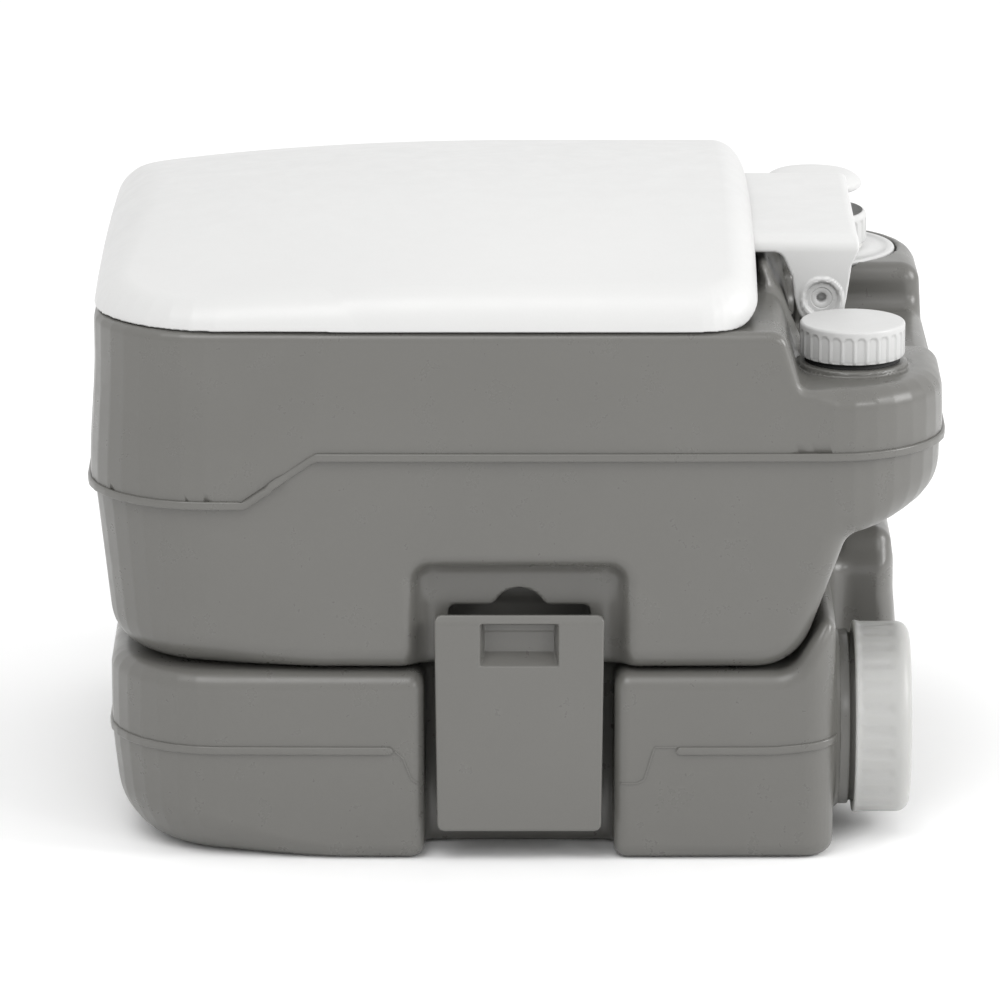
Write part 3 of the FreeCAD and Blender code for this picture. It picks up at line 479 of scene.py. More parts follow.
BASE_TOP, CRADLE_TOP = 94, 121
RIB_LIFT_START, RIB_LIFT_END = 120, 160
RIB_Z, RIB_LIFT = 55.6, 3.0
RIB_FRONT_END, RIB_REAR_START = -59.6, 77.4
PARTING_LINES = [[(-59, 55.6), (-55, 52), (-50.5, 41), (-47, 39), (-44, 39)],
                 [(78, 57.5), (67, 57.5), (62, 41), (58, 39), (49, 39)]]
TOWER_HALF, TOWER_FRONT, TOWER_BACK, TOWER_TOP = 55, 157, 187.3, 133
GRIP_HALF, GRIP_FRONT, GRIP_LOW, GRIP_HIGH = 38, 164, 100, 121
SPOUT_FLARE, SPOUT_BORE = 43.0, 39
RECESS_REACH, RECESS_HALF = 150, 46
EAR_SIZE, EAR_HALF = 5.5, 12
POCKET_HALF, POCKET_FRONT, POCKET_BACK = 62.1, -95.1, 35.1
PULL_HALF = 57
INLET_Y, INLET_RADIUS = -30, 46

BASE_PLAN = Outline([
    (-HALF_WIDTH + 0.5, BASE_LOW[1], 54), (HALF_WIDTH - 0.5, BASE_LOW[1], 54),
    (HALF_WIDTH - 0.5, 156, 15), (62, 156, 12), (62, BASE_HIGH[1], 10),
    (-HALF_WIDTH + 0.5, BASE_HIGH[1], 54)], (-240, -270), (240, 270))
BASE_SIDE = Outline([
    (-FAR, 0), (FAR, 0), (FAR, 84), (193, 84, 3), (187.5, 101, 6), (187.5, CRADLE_TOP, 6),
    (150, CRADLE_TOP, 6), (133, BASE_TOP, 14), (-FAR, BASE_TOP)], (-270, -40), (270, 200))


def base_rib_height(y):
    """Height of the waste tank's rib, which lifts a little round the rear corner."""
    return RIB_Z + RIB_LIFT * ramp(y, RIB_LIFT_START, RIB_LIFT_END)


def lower_tank_body(x, y, z):
    """The waste tank's outer walls with their draft, without any recess."""
    fore = ramp(y, -80, -190)
    draft = -0.4 - (0.6 + 3.6 * fore) * ramp(z, 62, 8)
    plan = bowed(BASE_PLAN, x, y) - draft
    heel = 8 + 22 * fore
    edge = np.where(z < 50, heel, 9)
    return both(plan, BASE_SIDE(y, z), edge)


def lower_tank_field(x, y, z):
    """The whole tank: walls, tower with its grip, spout flare, latch recesses and ears, and
    the pocket, pull slot and inlet of the slide valve."""
    across = np.abs(x)
    along = np.abs(y - LATCH_Y)
    solid = lower_tank_body(x, y, z)
    tower = brick(across - TOWER_HALF, slab(y, TOWER_FRONT, TOWER_BACK),
                  slab(z, 60, TOWER_TOP), 9)
    solid = either(solid, tower, 7)
    grip = brick(across - GRIP_HALF, slab(y, GRIP_FRONT, 240), slab(z, GRIP_LOW, GRIP_HIGH), 5)
    solid = without(solid, grip, 2)
    from_spout = np.hypot(x - SPOUT_X, z - SPOUT_Z)
    flare = both(from_spout - SPOUT_FLARE, slab(y, 140, 158), 1)
    solid = either(solid, flare, 5)
    solid = without(solid, both(from_spout - SPOUT_BORE, 120 - y), 0.5)
    recess = both(both(RECESS_REACH - across, along - RECESS_HALF, 6), slab(z, -50, 200))
    solid = without(solid, recess, 7)
    ear_stem = both(slab(across, 140, LATCH_X), slab(z, LATCH_Z - EAR_SIZE, LATCH_Z + EAR_SIZE))
    ear_side = either(np.hypot(across - LATCH_X, z - LATCH_Z) - EAR_SIZE, ear_stem)
    solid = either(solid, both(ear_side, along - EAR_HALF, 1), 1.5)
    pocket = brick(across - POCKET_HALF, slab(y, POCKET_FRONT, POCKET_BACK), slab(z, 76, 140), 1)
    pull = brick(across - PULL_HALF, slab(y, -260, -90), slab(z, 80, 140), 2.5)
    solid = without(solid, either(pocket, pull), 1.5)
    inlet = both(np.hypot(x, y - INLET_Y) - INLET_RADIUS, slab(z, 8, 100))
    return without(solid, inlet, 1)


# ---- white mouldings ---------------------------------------------------------------------

LID_LOW, LID_TOP, LID_HALF = 263.5, 303, 178
LID_FRONT, LID_BACK = -205.6, 117
LID_WALL = 2.6
TONGUE_INNER, TONGUE_OUTER = 62, 75
TONGUE_UNDER, TONGUE_TOP = 284.6, 288.2
LID_PLAN = Outline([(-LID_HALF, LID_FRONT, 60), (LID_HALF, LID_FRONT, 60),
                    (LID_HALF, LID_BACK, 27), (-LID_HALF, LID_BACK, 27)],
                   (-240, -260), (240, 180))
LID_SIDE = Outline([(-FAR, LID_LOW), (LID_BACK, LID_LOW, 14), (LID_BACK, 400), (-FAR, 400)],
                   (-260, 230), (180, 360))


def lid_crown(x, y):
    """Height of the lid's top, which falls away to the sides and the front."""
    return LID_TOP - 15.5 * (x / 150) ** 2 - 7 * (np.clip(15 - y, 0, None) / 163) ** 2.3


def lid_outer(x, y, z):
    """The lid's crowned outside."""
    top = lid_crown(x, y)
    nose = np.minimum(15 + 19 * ramp(y, -60, -175), top - LID_LOW)
    return both(bowed(LID_PLAN, x, y, 0.02), (z - top) * 0.97, nose)


def lid_field(x, y, z):
    """The lid as a thin shell, open at the back where the tongue and the seat's arms pass."""
    across = np.abs(x)
    outer = lid_outer(x, y, z)
    shell = both(np.maximum(outer, -(outer + LID_WALL)), LID_SIDE(y, z), 0.4)
    gate = brick(across - TONGUE_INNER, slab(y, 104, 130), slab(z, 240, TONGUE_UNDER), 2)
    notch = brick(across - 92, slab(y, 108, 130), slab(z, 240, 279.8), 4)
    return without(shell, either(gate, notch), 0.5)


TONGUE_SIDE = Outline([
    (90, 279), (130, 279, 6), (135.5, 266, 5), (136.6, 256, 6), (140, 243.4, 10),
    (150, 242.6, 4), (160, 244.6, 9), (162.2, 256, 9), (164.6, 272.7, 5), (168.2, 280, 4),
    (168.2, TONGUE_TOP, 5), (90, TONGUE_TOP)], (60, 220), (200, 320), 0.4)


def tongue_field(x, y, z):
    """The lid's hinge tongue: a plate over two arms that come down to the pins."""
    across = np.abs(x)
    from_pin = np.hypot(y - PIN_Y, z - PIN_Z)
    outer = both(across - TONGUE_OUTER, z - TONGUE_TOP, 9)
    whole = both(outer, TONGUE_SIDE(y, z), 1)
    inner = both(across - TONGUE_INNER, slab(z, 200, TONGUE_UNDER), 2)
    solid = without(whole, inner, 0.6)
    counterbore = both(from_pin - 8.2, slab(across, 74.1, 80), 0.3)
    solid = without(solid, counterbore, 0.4)
    lip = both(np.maximum(from_pin - 10.9, 8.3 - from_pin), slab(across, 70, 76), 0.9)
    solid = either(solid, lip, 0.6)
    solid = without(solid, from_pin - 5.1, 0.3)
    under_lid = 110.5 - y
    return np.maximum(solid, under_lid)


SEAT_LOW, SEAT_ROOF, SEAT_TOP, SEAT_WALL = 266, 281, 284, 2.8
SEAT_HOLE_X, SEAT_HOLE_Y, SEAT_HOLE_MIDDLE = 98, 118, -44
SEAT_RIB_PITCH = 36
POST_X, POST_FRONT, POST_BACK, POST_RADIUS = 135, -144, 66, 7
ARM_INNER, ARM_OUTER = 48, 60
SEAT_PLAN = Outline([(-160, -184, 62), (160, -184, 62), (160, 96, 28), (-160, 96, 28)],
                    (-220, -240), (220, 160))
SEAT_ARM = Outline([(92, 278), (134, 278, 4), (139, 250), (150, 246.5, 8), (161, 250),
                    (159, 266), (153, SEAT_TOP, 2), (92, SEAT_TOP)], (60, 220), (200, 320), 0.4)


def seat_field(x, y, z):
    """The seat: a crowned ring, hollow below, with bumper posts, cross ribs and two arms."""
    across = np.abs(x)
    round_hole = np.sqrt((x / SEAT_HOLE_X) ** 2 + ((y - SEAT_HOLE_MIDDLE) / SEAT_HOLE_Y) ** 2)
    hole = (round_hole - 1) * SEAT_HOLE_X * 0.93
    top = SEAT_TOP - 2.5 * (x / 150) ** 2
    outer = both(both(SEAT_PLAN(x, y), z - top, 12), -hole, 8)
    shell = np.maximum(np.maximum(outer, -(outer + SEAT_WALL)), SEAT_LOW - z)
    posts = np.minimum(np.hypot(across - POST_X, y - POST_FRONT),
                       np.hypot(across - POST_X, y - POST_BACK)) - POST_RADIUS
    shell = either(shell, both(posts, slab(z, SEAT_LOW, SEAT_ROOF)), 1)
    from_rib = np.mod(y + 200, SEAT_RIB_PITCH) - SEAT_RIB_PITCH / 2
    ribs = both(slab(from_rib, -1, 1), slab(z, 270, SEAT_ROOF))
    shell = np.minimum(shell, np.maximum(ribs, outer + 1))
    bridge = both(both(across - ARM_OUTER, slab(y, 88, 153), 4), slab(z, 278, SEAT_TOP), 1)
    arms = both(slab(across, ARM_INNER, ARM_OUTER), SEAT_ARM(y, z), 1.2)
    shell = either(shell, np.minimum(bridge, arms), 2)
    pin_hole = both(np.hypot(y - PIN_Y, z - PIN_Z) - 5.05, slab(across, 40, 70))
    return without(shell, pin_hole, 0.3)


LATCH_FACE, LATCH_BACK = 181, 177.2
LATCH_LOW, LATCH_HIGH, LATCH_HALF = 15.5, 123.8, 41
FLANGE_INNER, FLANGE_BACK = 38.2, 169
POCKET_SKIN_HALF, POCKET_SKIN_BACK = 21.2, 169.5
FINGER_HALF, FINGER_FLOOR, FINGER_LOW, FINGER_HIGH = 18.9, 171.8, 98.4, 119.6
HOOK_REACH, HOOK_HALF, HOOK_LOW, HOOK_HIGH = 158, 33, 114, 118


def latch_field(x, y, z):
    """The left latch: a plate with a lip, side flanges, a finger pocket and a hook."""
    along = np.abs(y - LATCH_Y)
    taper = LATCH_HALF - 0.012 * (124 - z)
    face = both(along - taper, slab(z, LATCH_LOW, LATCH_HIGH), 3.5)
    plate = both(face, slab(x, LATCH_BACK, LATCH_FACE), 0.8)
    flanges = brick(slab(x, FLANGE_BACK, 178), slab(along, FLANGE_INNER, taper),
                    slab(z, 16.5, 121), 0.8)
    plate = either(plate, flanges, 0.8)
    pocket_skin = brick(slab(x, POCKET_SKIN_BACK, 179), along - POCKET_SKIN_HALF,
                        slab(z, 95.5, 121.5), 1)
    plate = either(plate, pocket_skin, 0.8)
    lip_slope = 0.894 * (x - LATCH_FACE) + 0.447 * (z - 119.8)
    plate = both(plate, lip_slope, 0.5)
    pocket_foot = (FINGER_LOW - z) + 0.62 * (LATCH_FACE - x)
    pocket_side = along - (FINGER_HALF - 0.22 * (LATCH_FACE - x))
    pocket = both(both(pocket_side, pocket_foot * 0.85, 0.6),
                  both(FINGER_FLOOR - x, z - FINGER_HIGH, 0.6), 0.6)
    plate = without(plate, pocket, 0.4)
    hook = brick(slab(x, HOOK_REACH, 172.5), along - HOOK_HALF, slab(z, HOOK_LOW, HOOK_HIGH), 1)
    plate = either(plate, hook, 1)
    return without(plate, np.hypot(x - LATCH_X, z - LATCH_Z) - 3.05, 0.2)


def joined(name, items):
    """Several meshes made into one object."""
    bpy.ops.object.select_all(action="DESELECT")
    for item in items:
        item.select_set(True)
    bpy.context.view_layer.objects.active = items[0]
    bpy.ops.object.join()
    items[0].name = items[0].data.name = name
    items[0].select_set(False)
    return items[0]


def mirrored(item, name):
    """A copy of a mesh on the other side of the middle plane."""
    twin = item.copy()
    twin.data = item.data.copy()
    twin.name = twin.data.name = name
    bpy.context.scene.collection.objects.link(twin)
    count = len(twin.data.vertices)
    points = np.empty(count * 3, np.float32)
    twin.data.vertices.foreach_get("co", points)
    points = points.reshape(-1, 3)
    points[:, 0] *= -1
    normals = np.empty(len(twin.data.loops) * 3, np.float32)
    item.data.corner_normals.foreach_get("vector", normals)
    vertex_of = np.empty(len(item.data.loops), np.int32)
    item.data.loops.foreach_get("vertex_index", vertex_of)
    per_point = np.zeros((count, 3), np.float32)
    per_point[vertex_of] = normals.reshape(-1, 3)
    per_point[:, 0] *= -1
    twin.data.vertices.foreach_set("co", points.ravel())
    twin.data.flip_normals()
    twin.data.normals_split_custom_set_from_vertices(per_point.tolist())
    return twin


# ---- materials ---------------------------------------------------------------------------

def plastic(name, colour, roughness=0.45, grain=0.25, mottle=0.05, see_through=0.0, gloss=0.5):
    """Moulded plastic: a fine spark-eroded grain, a little mottling and uneven sheen."""
    material = bpy.data.materials.new(name)
    material.use_nodes = True
    nodes, links = material.node_tree.nodes, material.node_tree.links
    surface = nodes["Principled BSDF"]
    place_node = nodes.new("ShaderNodeNewGeometry")

    def noise(scale, detail, rough=0.5):
        node = nodes.new("ShaderNodeTexNoise")
        node.inputs["Scale"].default_value = scale
        node.inputs["Detail"].default_value = detail
        node.inputs["Roughness"].default_value = rough
        links.new(place_node.outputs["Position"], node.inputs["Vector"])
        return node.outputs["Fac"]

    def remap(value, low, high):
        node = nodes.new("ShaderNodeMapRange")
        node.inputs["From Min"].default_value = 0.3
        node.inputs["From Max"].default_value = 0.7
        node.inputs["To Min"].default_value = low
        node.inputs["To Max"].default_value = high
        links.new(value, node.inputs["Value"])
        return node.outputs["Result"]

    broad = remap(noise(9, 3), 1 - mottle, 1 + mottle)
    fine = remap(noise(900, 2), 1 - mottle * 0.5, 1 + mottle * 0.5)
    mixed = nodes.new("ShaderNodeMath")
    mixed.operation = "MULTIPLY"
    links.new(broad, mixed.inputs[0])
    links.new(fine, mixed.inputs[1])
    tint = nodes.new("ShaderNodeVectorMath")
    tint.operation = "SCALE"
    tint.inputs[0].default_value = colour
    links.new(mixed.outputs["Value"], tint.inputs["Scale"])
    links.new(tint.outputs["Vector"], surface.inputs["Base Color"])
    links.new(remap(noise(60, 4, 0.7), roughness - 0.05, roughness + 0.07),
              surface.inputs["Roughness"])
    bump = nodes.new("ShaderNodeBump")
    bump.inputs["Strength"].default_value = grain
    bump.inputs["Distance"].default_value = 0.00012
    links.new(noise(1400, 3, 0.6), bump.inputs["Height"])
    links.new(bump.outputs["Normal"], surface.inputs["Normal"])
    surface.inputs["Specular IOR Level"].default_value = gloss
    if see_through:
        surface.inputs["Subsurface Weight"].default_value = see_through
        surface.inputs["Subsurface Radius"].default_value = (0.02, 0.02, 0.018)
        surface.inputs["Subsurface Scale"].default_value = 0.4
    return material


def metal(name, colour, roughness):
    """Bright steel with a drawn grain."""
    material = plastic(name, colour, roughness, 0.3, 0.04)
    material.node_tree.nodes["Principled BSDF"].inputs["Metallic"].default_value = 1
    return material


GREY = plastic("grey_tank_plastic", (0.120, 0.1175, 0.109), 0.3, 0.07, 0.03, gloss=0.55)
LATCH_GREY = plastic("grey_latch_plastic", (0.128, 0.1255, 0.117), 0.32, 0.07, 0.03, gloss=0.5)
WHITE = plastic("white_plastic", (0.565, 0.565, 0.56), 0.36, 0.06, 0.012)
CAP_WHITE = plastic("white_cap_plastic", (0.50, 0.50, 0.495), 0.38, 0.08, 0.012)
MILKY = plastic("milky_plastic", (0.41, 0.41, 0.40), 0.38, 0.08, 0.02, see_through=0.6)
INNER = plastic("inner_plastic", (0.70, 0.70, 0.68), 0.45, 0.2, 0.03)
BLACK = plastic("black_rubber", (0.018, 0.018, 0.018), 0.6, 0.5, 0.08, gloss=0.3)
DARK = plastic("dark_rubber", (0.07, 0.07, 0.072), 0.6, 0.5, 0.08, gloss=0.3)
STEEL = metal("bright_steel", (0.58, 0.58, 0.6), 0.32)


def dress(item, material, body, slot, *nodes):
    """Gives a piece its material, the body it moves with and the CAD nodes it stands for."""
    item.data.materials.clear()
    item.data.materials.append(material)
    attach(item, body)
    if nodes:
        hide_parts(*nodes)
    return item


# ---- tank pieces -------------------------------------------------------------------------

def rib_section(half, proud):
    """Section of a raised band: its edges are rounded and its root is sunk in the wall."""
    return [(-1.0, -half), (proud * 0.55, -half), (proud * 0.9, -half * 0.86),
            (proud, -half * 0.6), (proud, half * 0.6), (proud * 0.9, half * 0.86),
            (proud * 0.55, half), (-1.0, half)]


def wall_line(field, path, heights, closed=False, pitch=3.0):
    """Even points over a path of (x, y) corners at heights(y), moved level on to a tank's wall,
    and the wall's outward direction at each."""
    path = np.asarray(path, float)
    if closed:
        path = np.concatenate([path, path[:1]])
    run = np.concatenate([[0], np.cumsum(np.linalg.norm(np.diff(path, axis=0), axis=1))])
    at = np.linspace(0, run[-1], int(run[-1] / pitch) + 2)
    if closed:
        at = at[:-1]
    x, y = np.interp(at, run, path[:, 0]), np.interp(at, run, path[:, 1])
    points = np.stack([x, y, heights(y)], 1)
    for _ in range(8):
        slope = slope_of(field, points, SLOPE_REACH)
        slope[:, 2] = 0
        slope /= np.maximum(np.linalg.norm(slope, axis=1), LEAST)[:, None]
        points = points - slope * field(*points.T)[:, None]
    return points, slope


TANK_PITCH, TANK_FACES = 1.9, 190000
RIB_HALF, TANK_RIB_PROUD, BASE_RIB_PROUD = 2.0, 1.5, 1.2
SEAM_HALF, SEAM_PROUD, SEAM_POINTS = 0.45, 0.4, 40


def make_upper_tank():
    tank = moulded("water_tank_moulding", upper_tank_field, (-188, -216, 88), (188, 214, 284),
                   TANK_PITCH, TANK_FACES)
    dress(tank, GREY, "water_tank", "grey_tank", "upper_tank", "upper_tank_base", "bowl")
    line, outward = wall_line(upper_tank_body, TANK_PLAN.points, rib_height, closed=True)
    section = rib_section(RIB_HALF, TANK_RIB_PROUD)
    rib = bead("water_tank_rib", line, outward, section, closed=True)
    dress(rib, GREY, "water_tank", "grey_tank")


def make_seam(name, path, wide):
    """A thin parting line down the waste tank's side, through (y, z) points."""
    steps = np.linspace(0, 1, SEAM_POINTS)
    corners = np.linspace(0, 1, len(path))
    y = np.interp(steps, corners, [point[0] for point in path])
    z = np.interp(steps, corners, [point[1] for point in path])
    line = np.stack([np.full(SEAM_POINTS, wide), y, z], 1)
    for _ in range(6):
        slope = slope_of(lower_tank_field, line, SLOPE_REACH)
        line = line - slope * lower_tank_field(*line.T)[:, None]
    seam = bead(name, line, slope, rib_section(SEAM_HALF, SEAM_PROUD))
    dress(seam, GREY, "waste_tank", "grey_tank")


def make_lower_tank():
    tank = moulded("waste_tank_moulding", lower_tank_field, (-186, -206, -6), (186, 196, 140),
                   TANK_PITCH, TANK_FACES)
    dress(tank, GREY, "waste_tank", "grey_tank", "lower_tank")
    wide = HALF_WIDTH - 0.5
    front = [point for point in BASE_PLAN.points if point[1] < -100]
    corner = [point for point in BASE_PLAN.points if point[0] > 130 and point[1] > 100]
    far = [point for point in BASE_PLAN.points if point[0] < -110 and point[1] > 100]
    ribs = (("front", [(-wide, RIB_FRONT_END)] + front + [(wide, RIB_FRONT_END)]),
            ("left", [(wide, RIB_REAR_START)] + corner),
            ("right", far + [(-wide, RIB_REAR_START)]))
    for name, path in ribs:
        line, outward = wall_line(lower_tank_body, path, base_rib_height, pitch=1.0)
        rib = bead("waste_tank_rib_" + name, line, outward, rib_section(RIB_HALF, BASE_RIB_PROUD))
        dress(rib, GREY, "waste_tank", "grey_tank")
    for side, hand in SIDES:
        for number, path in enumerate(PARTING_LINES):
            make_seam(f"waste_tank_seam_{number}_{hand}", path, side * wide)


# ---- lid, seat and latches ---------------------------------------------------------------

FOOT_RADIUS, FOOT_INSET, FOOT_SINK = 5.0, 6, 3


def make_lid():
    lid = moulded("lid_dome", lid_field, (-184, -212, 258), (184, 122, 308), 1.4, 180000,
                  thin=True)
    dress(lid, WHITE, "lid", "white_gloss", "lid")
    low, high = span("lid_bumpers")
    foot_low = low[2]
    feet = []
    for x in (low[0] + FOOT_INSET, high[0] - FOOT_INSET):
        for y in (low[1] + FOOT_INSET, high[1] - FOOT_INSET):
            top = lid_crown(abs(x) + FOOT_RADIUS, y - FOOT_RADIUS) - FOOT_SINK
            profile = [(AXIS, foot_low), (4.2, foot_low), (FOOT_RADIUS, foot_low + 0.8),
                       (FOOT_RADIUS, top), (AXIS, top)]
            feet.append(turned("foot", profile, (x, y, 0), "z", 32))
    foot = joined("lid_bumper_feet", feet)
    dress(foot, DARK, "lid", "grey_rubber", "lid_bumpers")
    tongue = moulded("lid_hinge_tongue", tongue_field, (-80, 108, 242), (80, 174, 292), 1.0,
                     90000, thin=True)
    dress(tongue, WHITE, "lid", "white_gloss")


def make_seat():
    seat = moulded("seat_ring", seat_field, (-166, -190, 242), (166, 166, 288), 1.5, 160000,
                   thin=True)
    dress(seat, WHITE, "seat", "white_gloss", "seat")


def make_latches():
    latch = moulded("latch_left_plate", latch_field, (155, -44, 12), (186, 47, 128), 0.9, 90000,
                    thin=True)
    dress(latch, LATCH_GREY, "latch_left", "grey_latch", "latch_left")
    twin = mirrored(latch, "latch_right_plate")
    dress(twin, LATCH_GREY, "latch_right", "grey_latch", "latch_right")


# ---- caps and pump -----------------------------------------------------------------------

def arc(centre, radius, start, end, steps=6):
    """(radius, height) points on an arc, from one angle to another in degrees."""
    angles = np.radians(np.linspace(start, end, steps + 1))
    return [(centre[0] + radius * math.cos(a), centre[1] + radius * math.sin(a)) for a in angles]


def panels(count, depth, low, high, rim, gap=0.26, ridged=False):
    """Grip panels round a cap, outside the rim radius, that fade out at the top: raised with
    narrow grooves between them, or sunk with narrow ridges between them."""
    def ripple(turn, radius, height):
        phase = np.abs(np.mod(turn * count / (2 * math.pi), 1) - 0.5) * 2
        groove = ramp(phase, 1 - gap, 1 - gap * 0.55)
        groove = 1 - groove if ridged else groove
        top = high - 1.6 * ramp(phase, 0.2, 0.8) ** 2
        fade = ramp(height, low - 1.5, low) * ramp(height, top, top - 0.9)
        return -depth * groove * fade * (radius > rim)
    return ripple


FLUTES = 26
FILL_CAP_TALL, FILL_CAP_WALL = 16.6, 1.5
FILL_CAP_OUT, FILL_CAP_IN = 25.5, 21.0
GASKET_WIDE = 4.3
WASTE_CAP_IN, WASTE_CAP_WALL = 42.3, 5


def make_fill_cap():
    low, high = FILL_Z, FILL_Z + FILL_CAP_TALL
    inside = high - FILL_CAP_WALL
    profile = ([(AXIS, high)] + arc((24.1, high - 1.4), 1.4, 90, 0, 6)
               + [(FILL_CAP_OUT, height) for height in np.arange(high - 2, low + 1.2, -0.6)]
               + [(25.2, low + 0.4), (24.8, low), (21.2, low), (FILL_CAP_IN, low + 2),
                  (FILL_CAP_IN, inside), (AXIS, inside)])
    cap = turned("fill_cap_moulding", profile[::-1], (FILL_X, FILL_Y, 0), "z", FLUTES * 12,
                 panels(FLUTES, 0.7, low - 1, high - 3.2, 25.0, 0.3, ridged=True))
    dress(cap, CAP_WHITE, "fill_cap", "white_cap", "fill_cap")
    low, high = span("fill_gasket")[0][2], span("fill_gasket")[1][2]
    inner = span("fill_gasket")[1][0] - FILL_X - GASKET_WIDE
    profile = ([(inner, low), (22.4, low)] + arc((22.2, (low + high) / 2), 0.9, -60, 60, 4)
               + [(22.4, high), (inner, high), (inner, low)])
    ring = turned("fill_gasket_ring", profile, (FILL_X, FILL_Y, 0), "z", 96)
    dress(ring, BLACK, "fill_seal", "black_rubber", "fill_gasket")


def make_waste_cap():
    front, back = span("waste_cap")[0][1], span("waste_cap")[1][1]
    profile = ([(AXIS, back)] + [(30.0, back - 0.2)] + arc((40.5, back - 6.5), 6.2, 88, 4, 7)
               + [(46.75, height) for height in np.arange(back - 7.5, front + 3.2, -1.5)]
               + [(47.0, front + 2.4), (47.3, front + 1.4), (47.0, front + 0.3), (46.4, front),
                  (42.6, front), (WASTE_CAP_IN, front + 2), (WASTE_CAP_IN, back - WASTE_CAP_WALL),
                  (AXIS, back - WASTE_CAP_WALL)])
    cap = turned("waste_cap_moulding", profile[::-1], (SPOUT_X, 0, SPOUT_Z), "y", FLUTES * 10,
                 panels(FLUTES, 0.45, front + 3.4, back - 8, 46.5, 0.5))
    dress(cap, MILKY, "waste_cap", "milky_cap", "waste_cap")


NECK_START, NECK_STEP = 142, 162.0
NECK_BORE, NECK_ROOT, NECK_CREST, NECK_WIDE = 37.0, 41.2, 42.0, 42.9
THREAD_PITCH, THREAD_TURNS = 6, 3


def make_spout_neck():
    """The pouring spout's neck, with a ridge for each turn of its thread."""
    end = BASE_HIGH[1] - 4
    threads = []
    for turn in range(THREAD_TURNS):
        at = end - 6 - turn * THREAD_PITCH
        threads = [(NECK_ROOT, at - 2.2), (NECK_CREST, at - 1.2), (NECK_CREST, at + 0.4),
                   (NECK_ROOT, at + 1.4)] + threads
    profile = ([(NECK_BORE, NECK_START), (NECK_WIDE, NECK_START), (NECK_WIDE, NECK_STEP),
                (42.4, NECK_STEP + 0.6), (NECK_ROOT, NECK_STEP + 0.8)] + threads
               + [(NECK_ROOT, end - 0.8), (40.4, end), (NECK_BORE, end),
                  (NECK_BORE, NECK_START)])
    neck = turned("spout_neck_thread", profile, (SPOUT_X, 0, SPOUT_Z), "y", 128)
    dress(neck, GREY, "waste_tank", "grey_tank")


PLATE_HUB, PLATE_TALL, PLATE_GROOVE = 20.2, 3.0, 0.4
COLLAR_OUT, COLLAR_IN, ROD_HOLE = 28.3, 26.05, 4.2


def make_pump():
    """The hand pump's round plate, ribbed collar and knob."""
    at = (PUMP_X, PUMP_Y, 0)
    top = SHELF_Z + PLATE_TALL
    profile = ([(PLATE_HUB, SHELF_Z), (42.2, SHELF_Z), (43.0, SHELF_Z + 0.8)]
               + arc((41.6, SHELF_Z + 1.8), 1.2, 0, 90, 4)
               + [(39.0, top), (38.6, top - PLATE_GROOVE), (32.0, top - PLATE_GROOVE),
                  (31.6, top), (PLATE_HUB, top)])
    plate = turned("pump_plate_disc", profile, at, "z", 128)
    dress(plate, WHITE, "water_tank", "white_gloss", "pump_plate")
    low, high = span("pump_collar")[0][2], span("pump_collar")[1][2]
    floor = span("pump_gland_seal")[1][2]
    profile = ([(27.6, low), (28.2, low + 0.6)]
               + [(COLLAR_OUT, height) for height in np.arange(low + 1.2, high - 3.4, 0.7)]
               + arc((25.2, high - 3.1), 3.1, 0, 72, 6)
               + [(26.1, high - 0.3), (COLLAR_IN, high - 1), (COLLAR_IN, floor), (8.1, floor),
                  (8.1, floor - 3), (ROD_HOLE, floor - 3), (ROD_HOLE, low), (27.6, low)])
    collar = turned("pump_collar_ring", profile, at, "z", FLUTES * 12,
                    panels(FLUTES, 0.8, low + 1.2, high - 3.2, 27.9, 0.3, ridged=True))
    dress(collar, WHITE, "water_tank", "white_gloss", "pump_collar")
    low, high = span("pump_knob")[0][2], span("pump_knob")[1][2]
    profile = ([(AXIS, low), (15.5, low), (17.0, low + 0.5), (22.6, low + 2.6)]
               + arc((22.9, low + 5.2), 2.55, -60, 50, 7)
               + [(22.0, high - 1.9), (20.0, high - 0.9), (17.0, high - 0.3), (9.0, high),
                  (AXIS, high)])
    knob = turned("pump_knob_top", profile, at, "z", 96)
    dress(knob, WHITE, "pump_piston", "white_gloss", "pump_knob")


PLUG_RADIUS, PLUG_HEAD, PLUG_HOLE, PLUG_HOLE_DEPTH = 5.0, 6.3, 2.5, 6
ROD_RADIUS, ROD_INSET = 3.0, 1.5


def make_hinge_pins():
    """The hinge's round push-in plugs, each with a head and a blind hole."""
    low, high = span("hinge_pin_left")
    start, end = low[0], high[0]
    profile = [(AXIS, start), (4.4, start), (PLUG_RADIUS, start + 0.6), (PLUG_RADIUS, end - 3.2),
               (PLUG_HEAD, end - 2.6), (PLUG_HEAD, end - 0.5), (5.9, end), (3.0, end),
               (PLUG_HOLE, end - 0.5), (PLUG_HOLE, end - PLUG_HOLE_DEPTH),
               (AXIS, end - PLUG_HOLE_DEPTH)]
    for side, hand in SIDES:
        shaped = [(radius, side * along) for radius, along in profile]
        pin = turned("hinge_plug_" + hand, shaped if side > 0 else shaped[::-1],
                     (0, PIN_Y, PIN_Z), "x", 48)
        dress(pin, WHITE, "water_tank", "white_inner", "hinge_pin_" + hand)


def make_latch_pins():
    """The latches' pivot rods, a little shorter than their holes."""
    low, high = span("latch_pin_left")
    start, end = low[1] + ROD_INSET, high[1] - ROD_INSET
    profile = [(AXIS, start), (2.6, start), (ROD_RADIUS, start + 0.4), (ROD_RADIUS, end - 0.4),
               (2.6, end), (AXIS, end)]
    for side, hand in SIDES:
        pin = turned("latch_rod_" + hand, profile, (side * LATCH_X, 0, LATCH_Z), "y", 24)
        dress(pin, STEEL, "waste_tank", "steel", "latch_pin_" + hand)


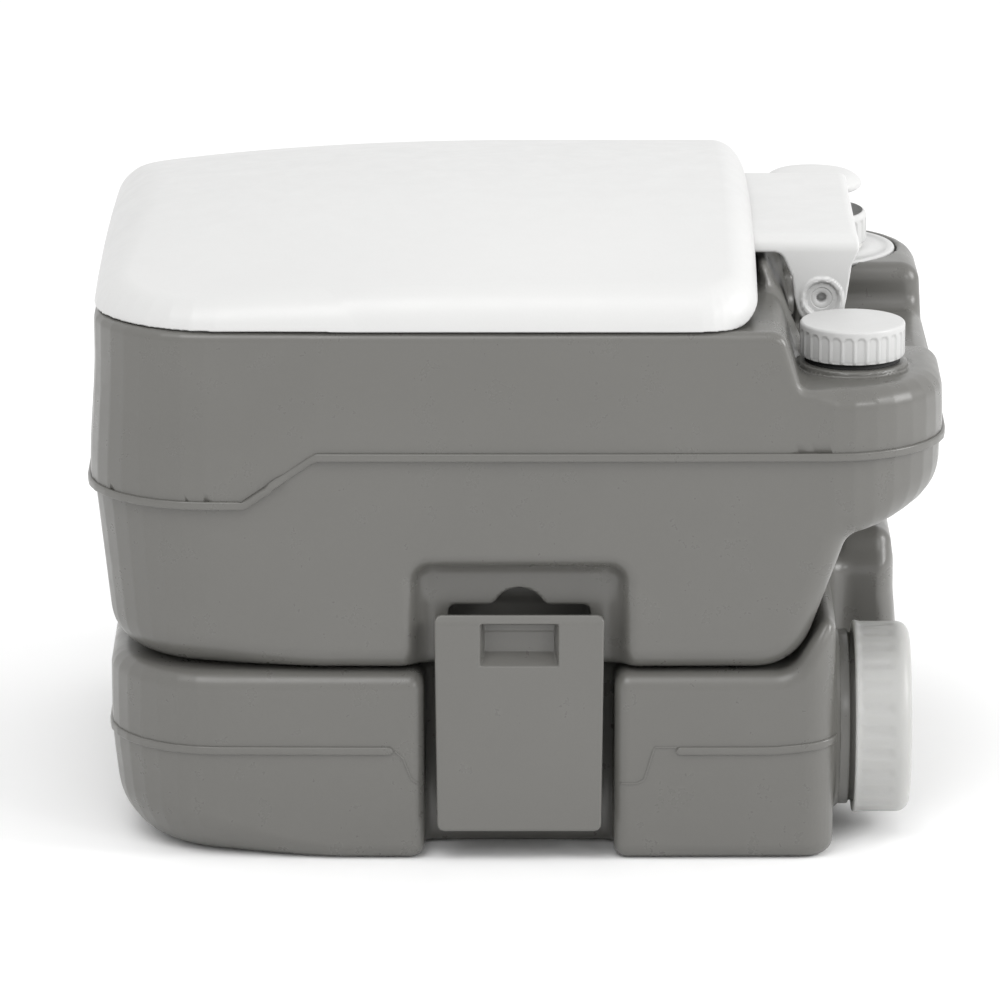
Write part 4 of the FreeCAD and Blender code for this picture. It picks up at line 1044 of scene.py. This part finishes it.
def dress_frame():
    """Procedural materials for the CAD pieces, by the slots that the record gives them."""
    finishes = {"black_rubber": BLACK, "grey_rubber": DARK, "white_inner": INNER, "steel": STEEL,
                "grey_latch": LATCH_GREY, "grey_tank": GREY, "white_gloss": WHITE,
                "white_cap": CAP_WHITE, "milky_cap": MILKY}
    for part in frame["record"]["subparts"]:
        item = frame["nodes"][part["node"]]
        for slot in item.material_slots:
            slot.material = finishes[part["material_slot"]]


# ---- stage -------------------------------------------------------------------------------

FLOOR_HALF = 4000
SKY_STRENGTH = 1.02
LAMPS = (("key", (1.4, -0.6, 2.4), 1.4, 20), ("rear_fill", (0.5, 2.2, 1.2), 1.0, 26),
         ("glint", (1.9, 1.5, 1.3), 0.35, 5))
CAMERA_DISTANCE, CAMERA_RISE, CAMERA_LENS = 3.8, 14.8, 271.3


def make_stage():
    """A plain pale floor, an even white sky and three soft lamps, in metres and watts."""
    corners = [(-FLOOR_HALF, -FLOOR_HALF, 0), (FLOOR_HALF, -FLOOR_HALF, 0),
               (FLOOR_HALF, FLOOR_HALF, 0), (-FLOOR_HALF, FLOOR_HALF, 0)]
    floor = new_object("floor", corners, [(0, 1, 2, 3)])
    material = plastic("pale_floor", (0.95, 0.95, 0.95), 0.6, 0.1, 0.005)
    floor.data.materials.append(material)
    world = bpy.data.worlds.new("studio")
    world.use_nodes = True
    sky = world.node_tree.nodes["Background"]
    sky.inputs["Color"].default_value = (1, 1, 1, 1)
    sky.inputs["Strength"].default_value = SKY_STRENGTH
    bpy.context.scene.world = world
    for name, spot, size, power in LAMPS:
        data = bpy.data.lights.new(name, "AREA")
        data.size, data.energy = size, power
        lamp = bpy.data.objects.new(name, data)
        lamp.location = spot
        aim = Vector((0, 0, 0.15)) - Vector(spot)
        lamp.rotation_euler = aim.to_track_quat("-Z", "Y").to_euler()
        bpy.context.scene.collection.objects.link(lamp)


def make_camera():
    """A long lens on the sitter's left, a little above the lid, as in the photograph."""
    data = bpy.data.cameras.new("camera")
    camera = bpy.data.objects.new("camera", data)
    bpy.context.scene.collection.objects.link(camera)
    rise = math.radians(CAMERA_RISE)
    target = Vector((0, -0.0078, 0.134))
    back = Vector((math.cos(rise), 0, math.sin(rise)))
    camera.location = target + back * CAMERA_DISTANCE
    camera.rotation_euler = (-back).to_track_quat("-Z", "Y").to_euler()
    data.sensor_width = 36
    data.lens = CAMERA_LENS
    data.clip_end = 50
    bpy.context.scene.camera = camera


make_camera()
make_stage()
dress_frame()
make_upper_tank()
make_lower_tank()
make_lid()
make_seat()
make_latches()
make_fill_cap()
make_waste_cap()
make_spout_neck()
make_pump()
make_hinge_pins()
make_latch_pins()
bpy.context.scene.view_settings.view_transform = "Standard"
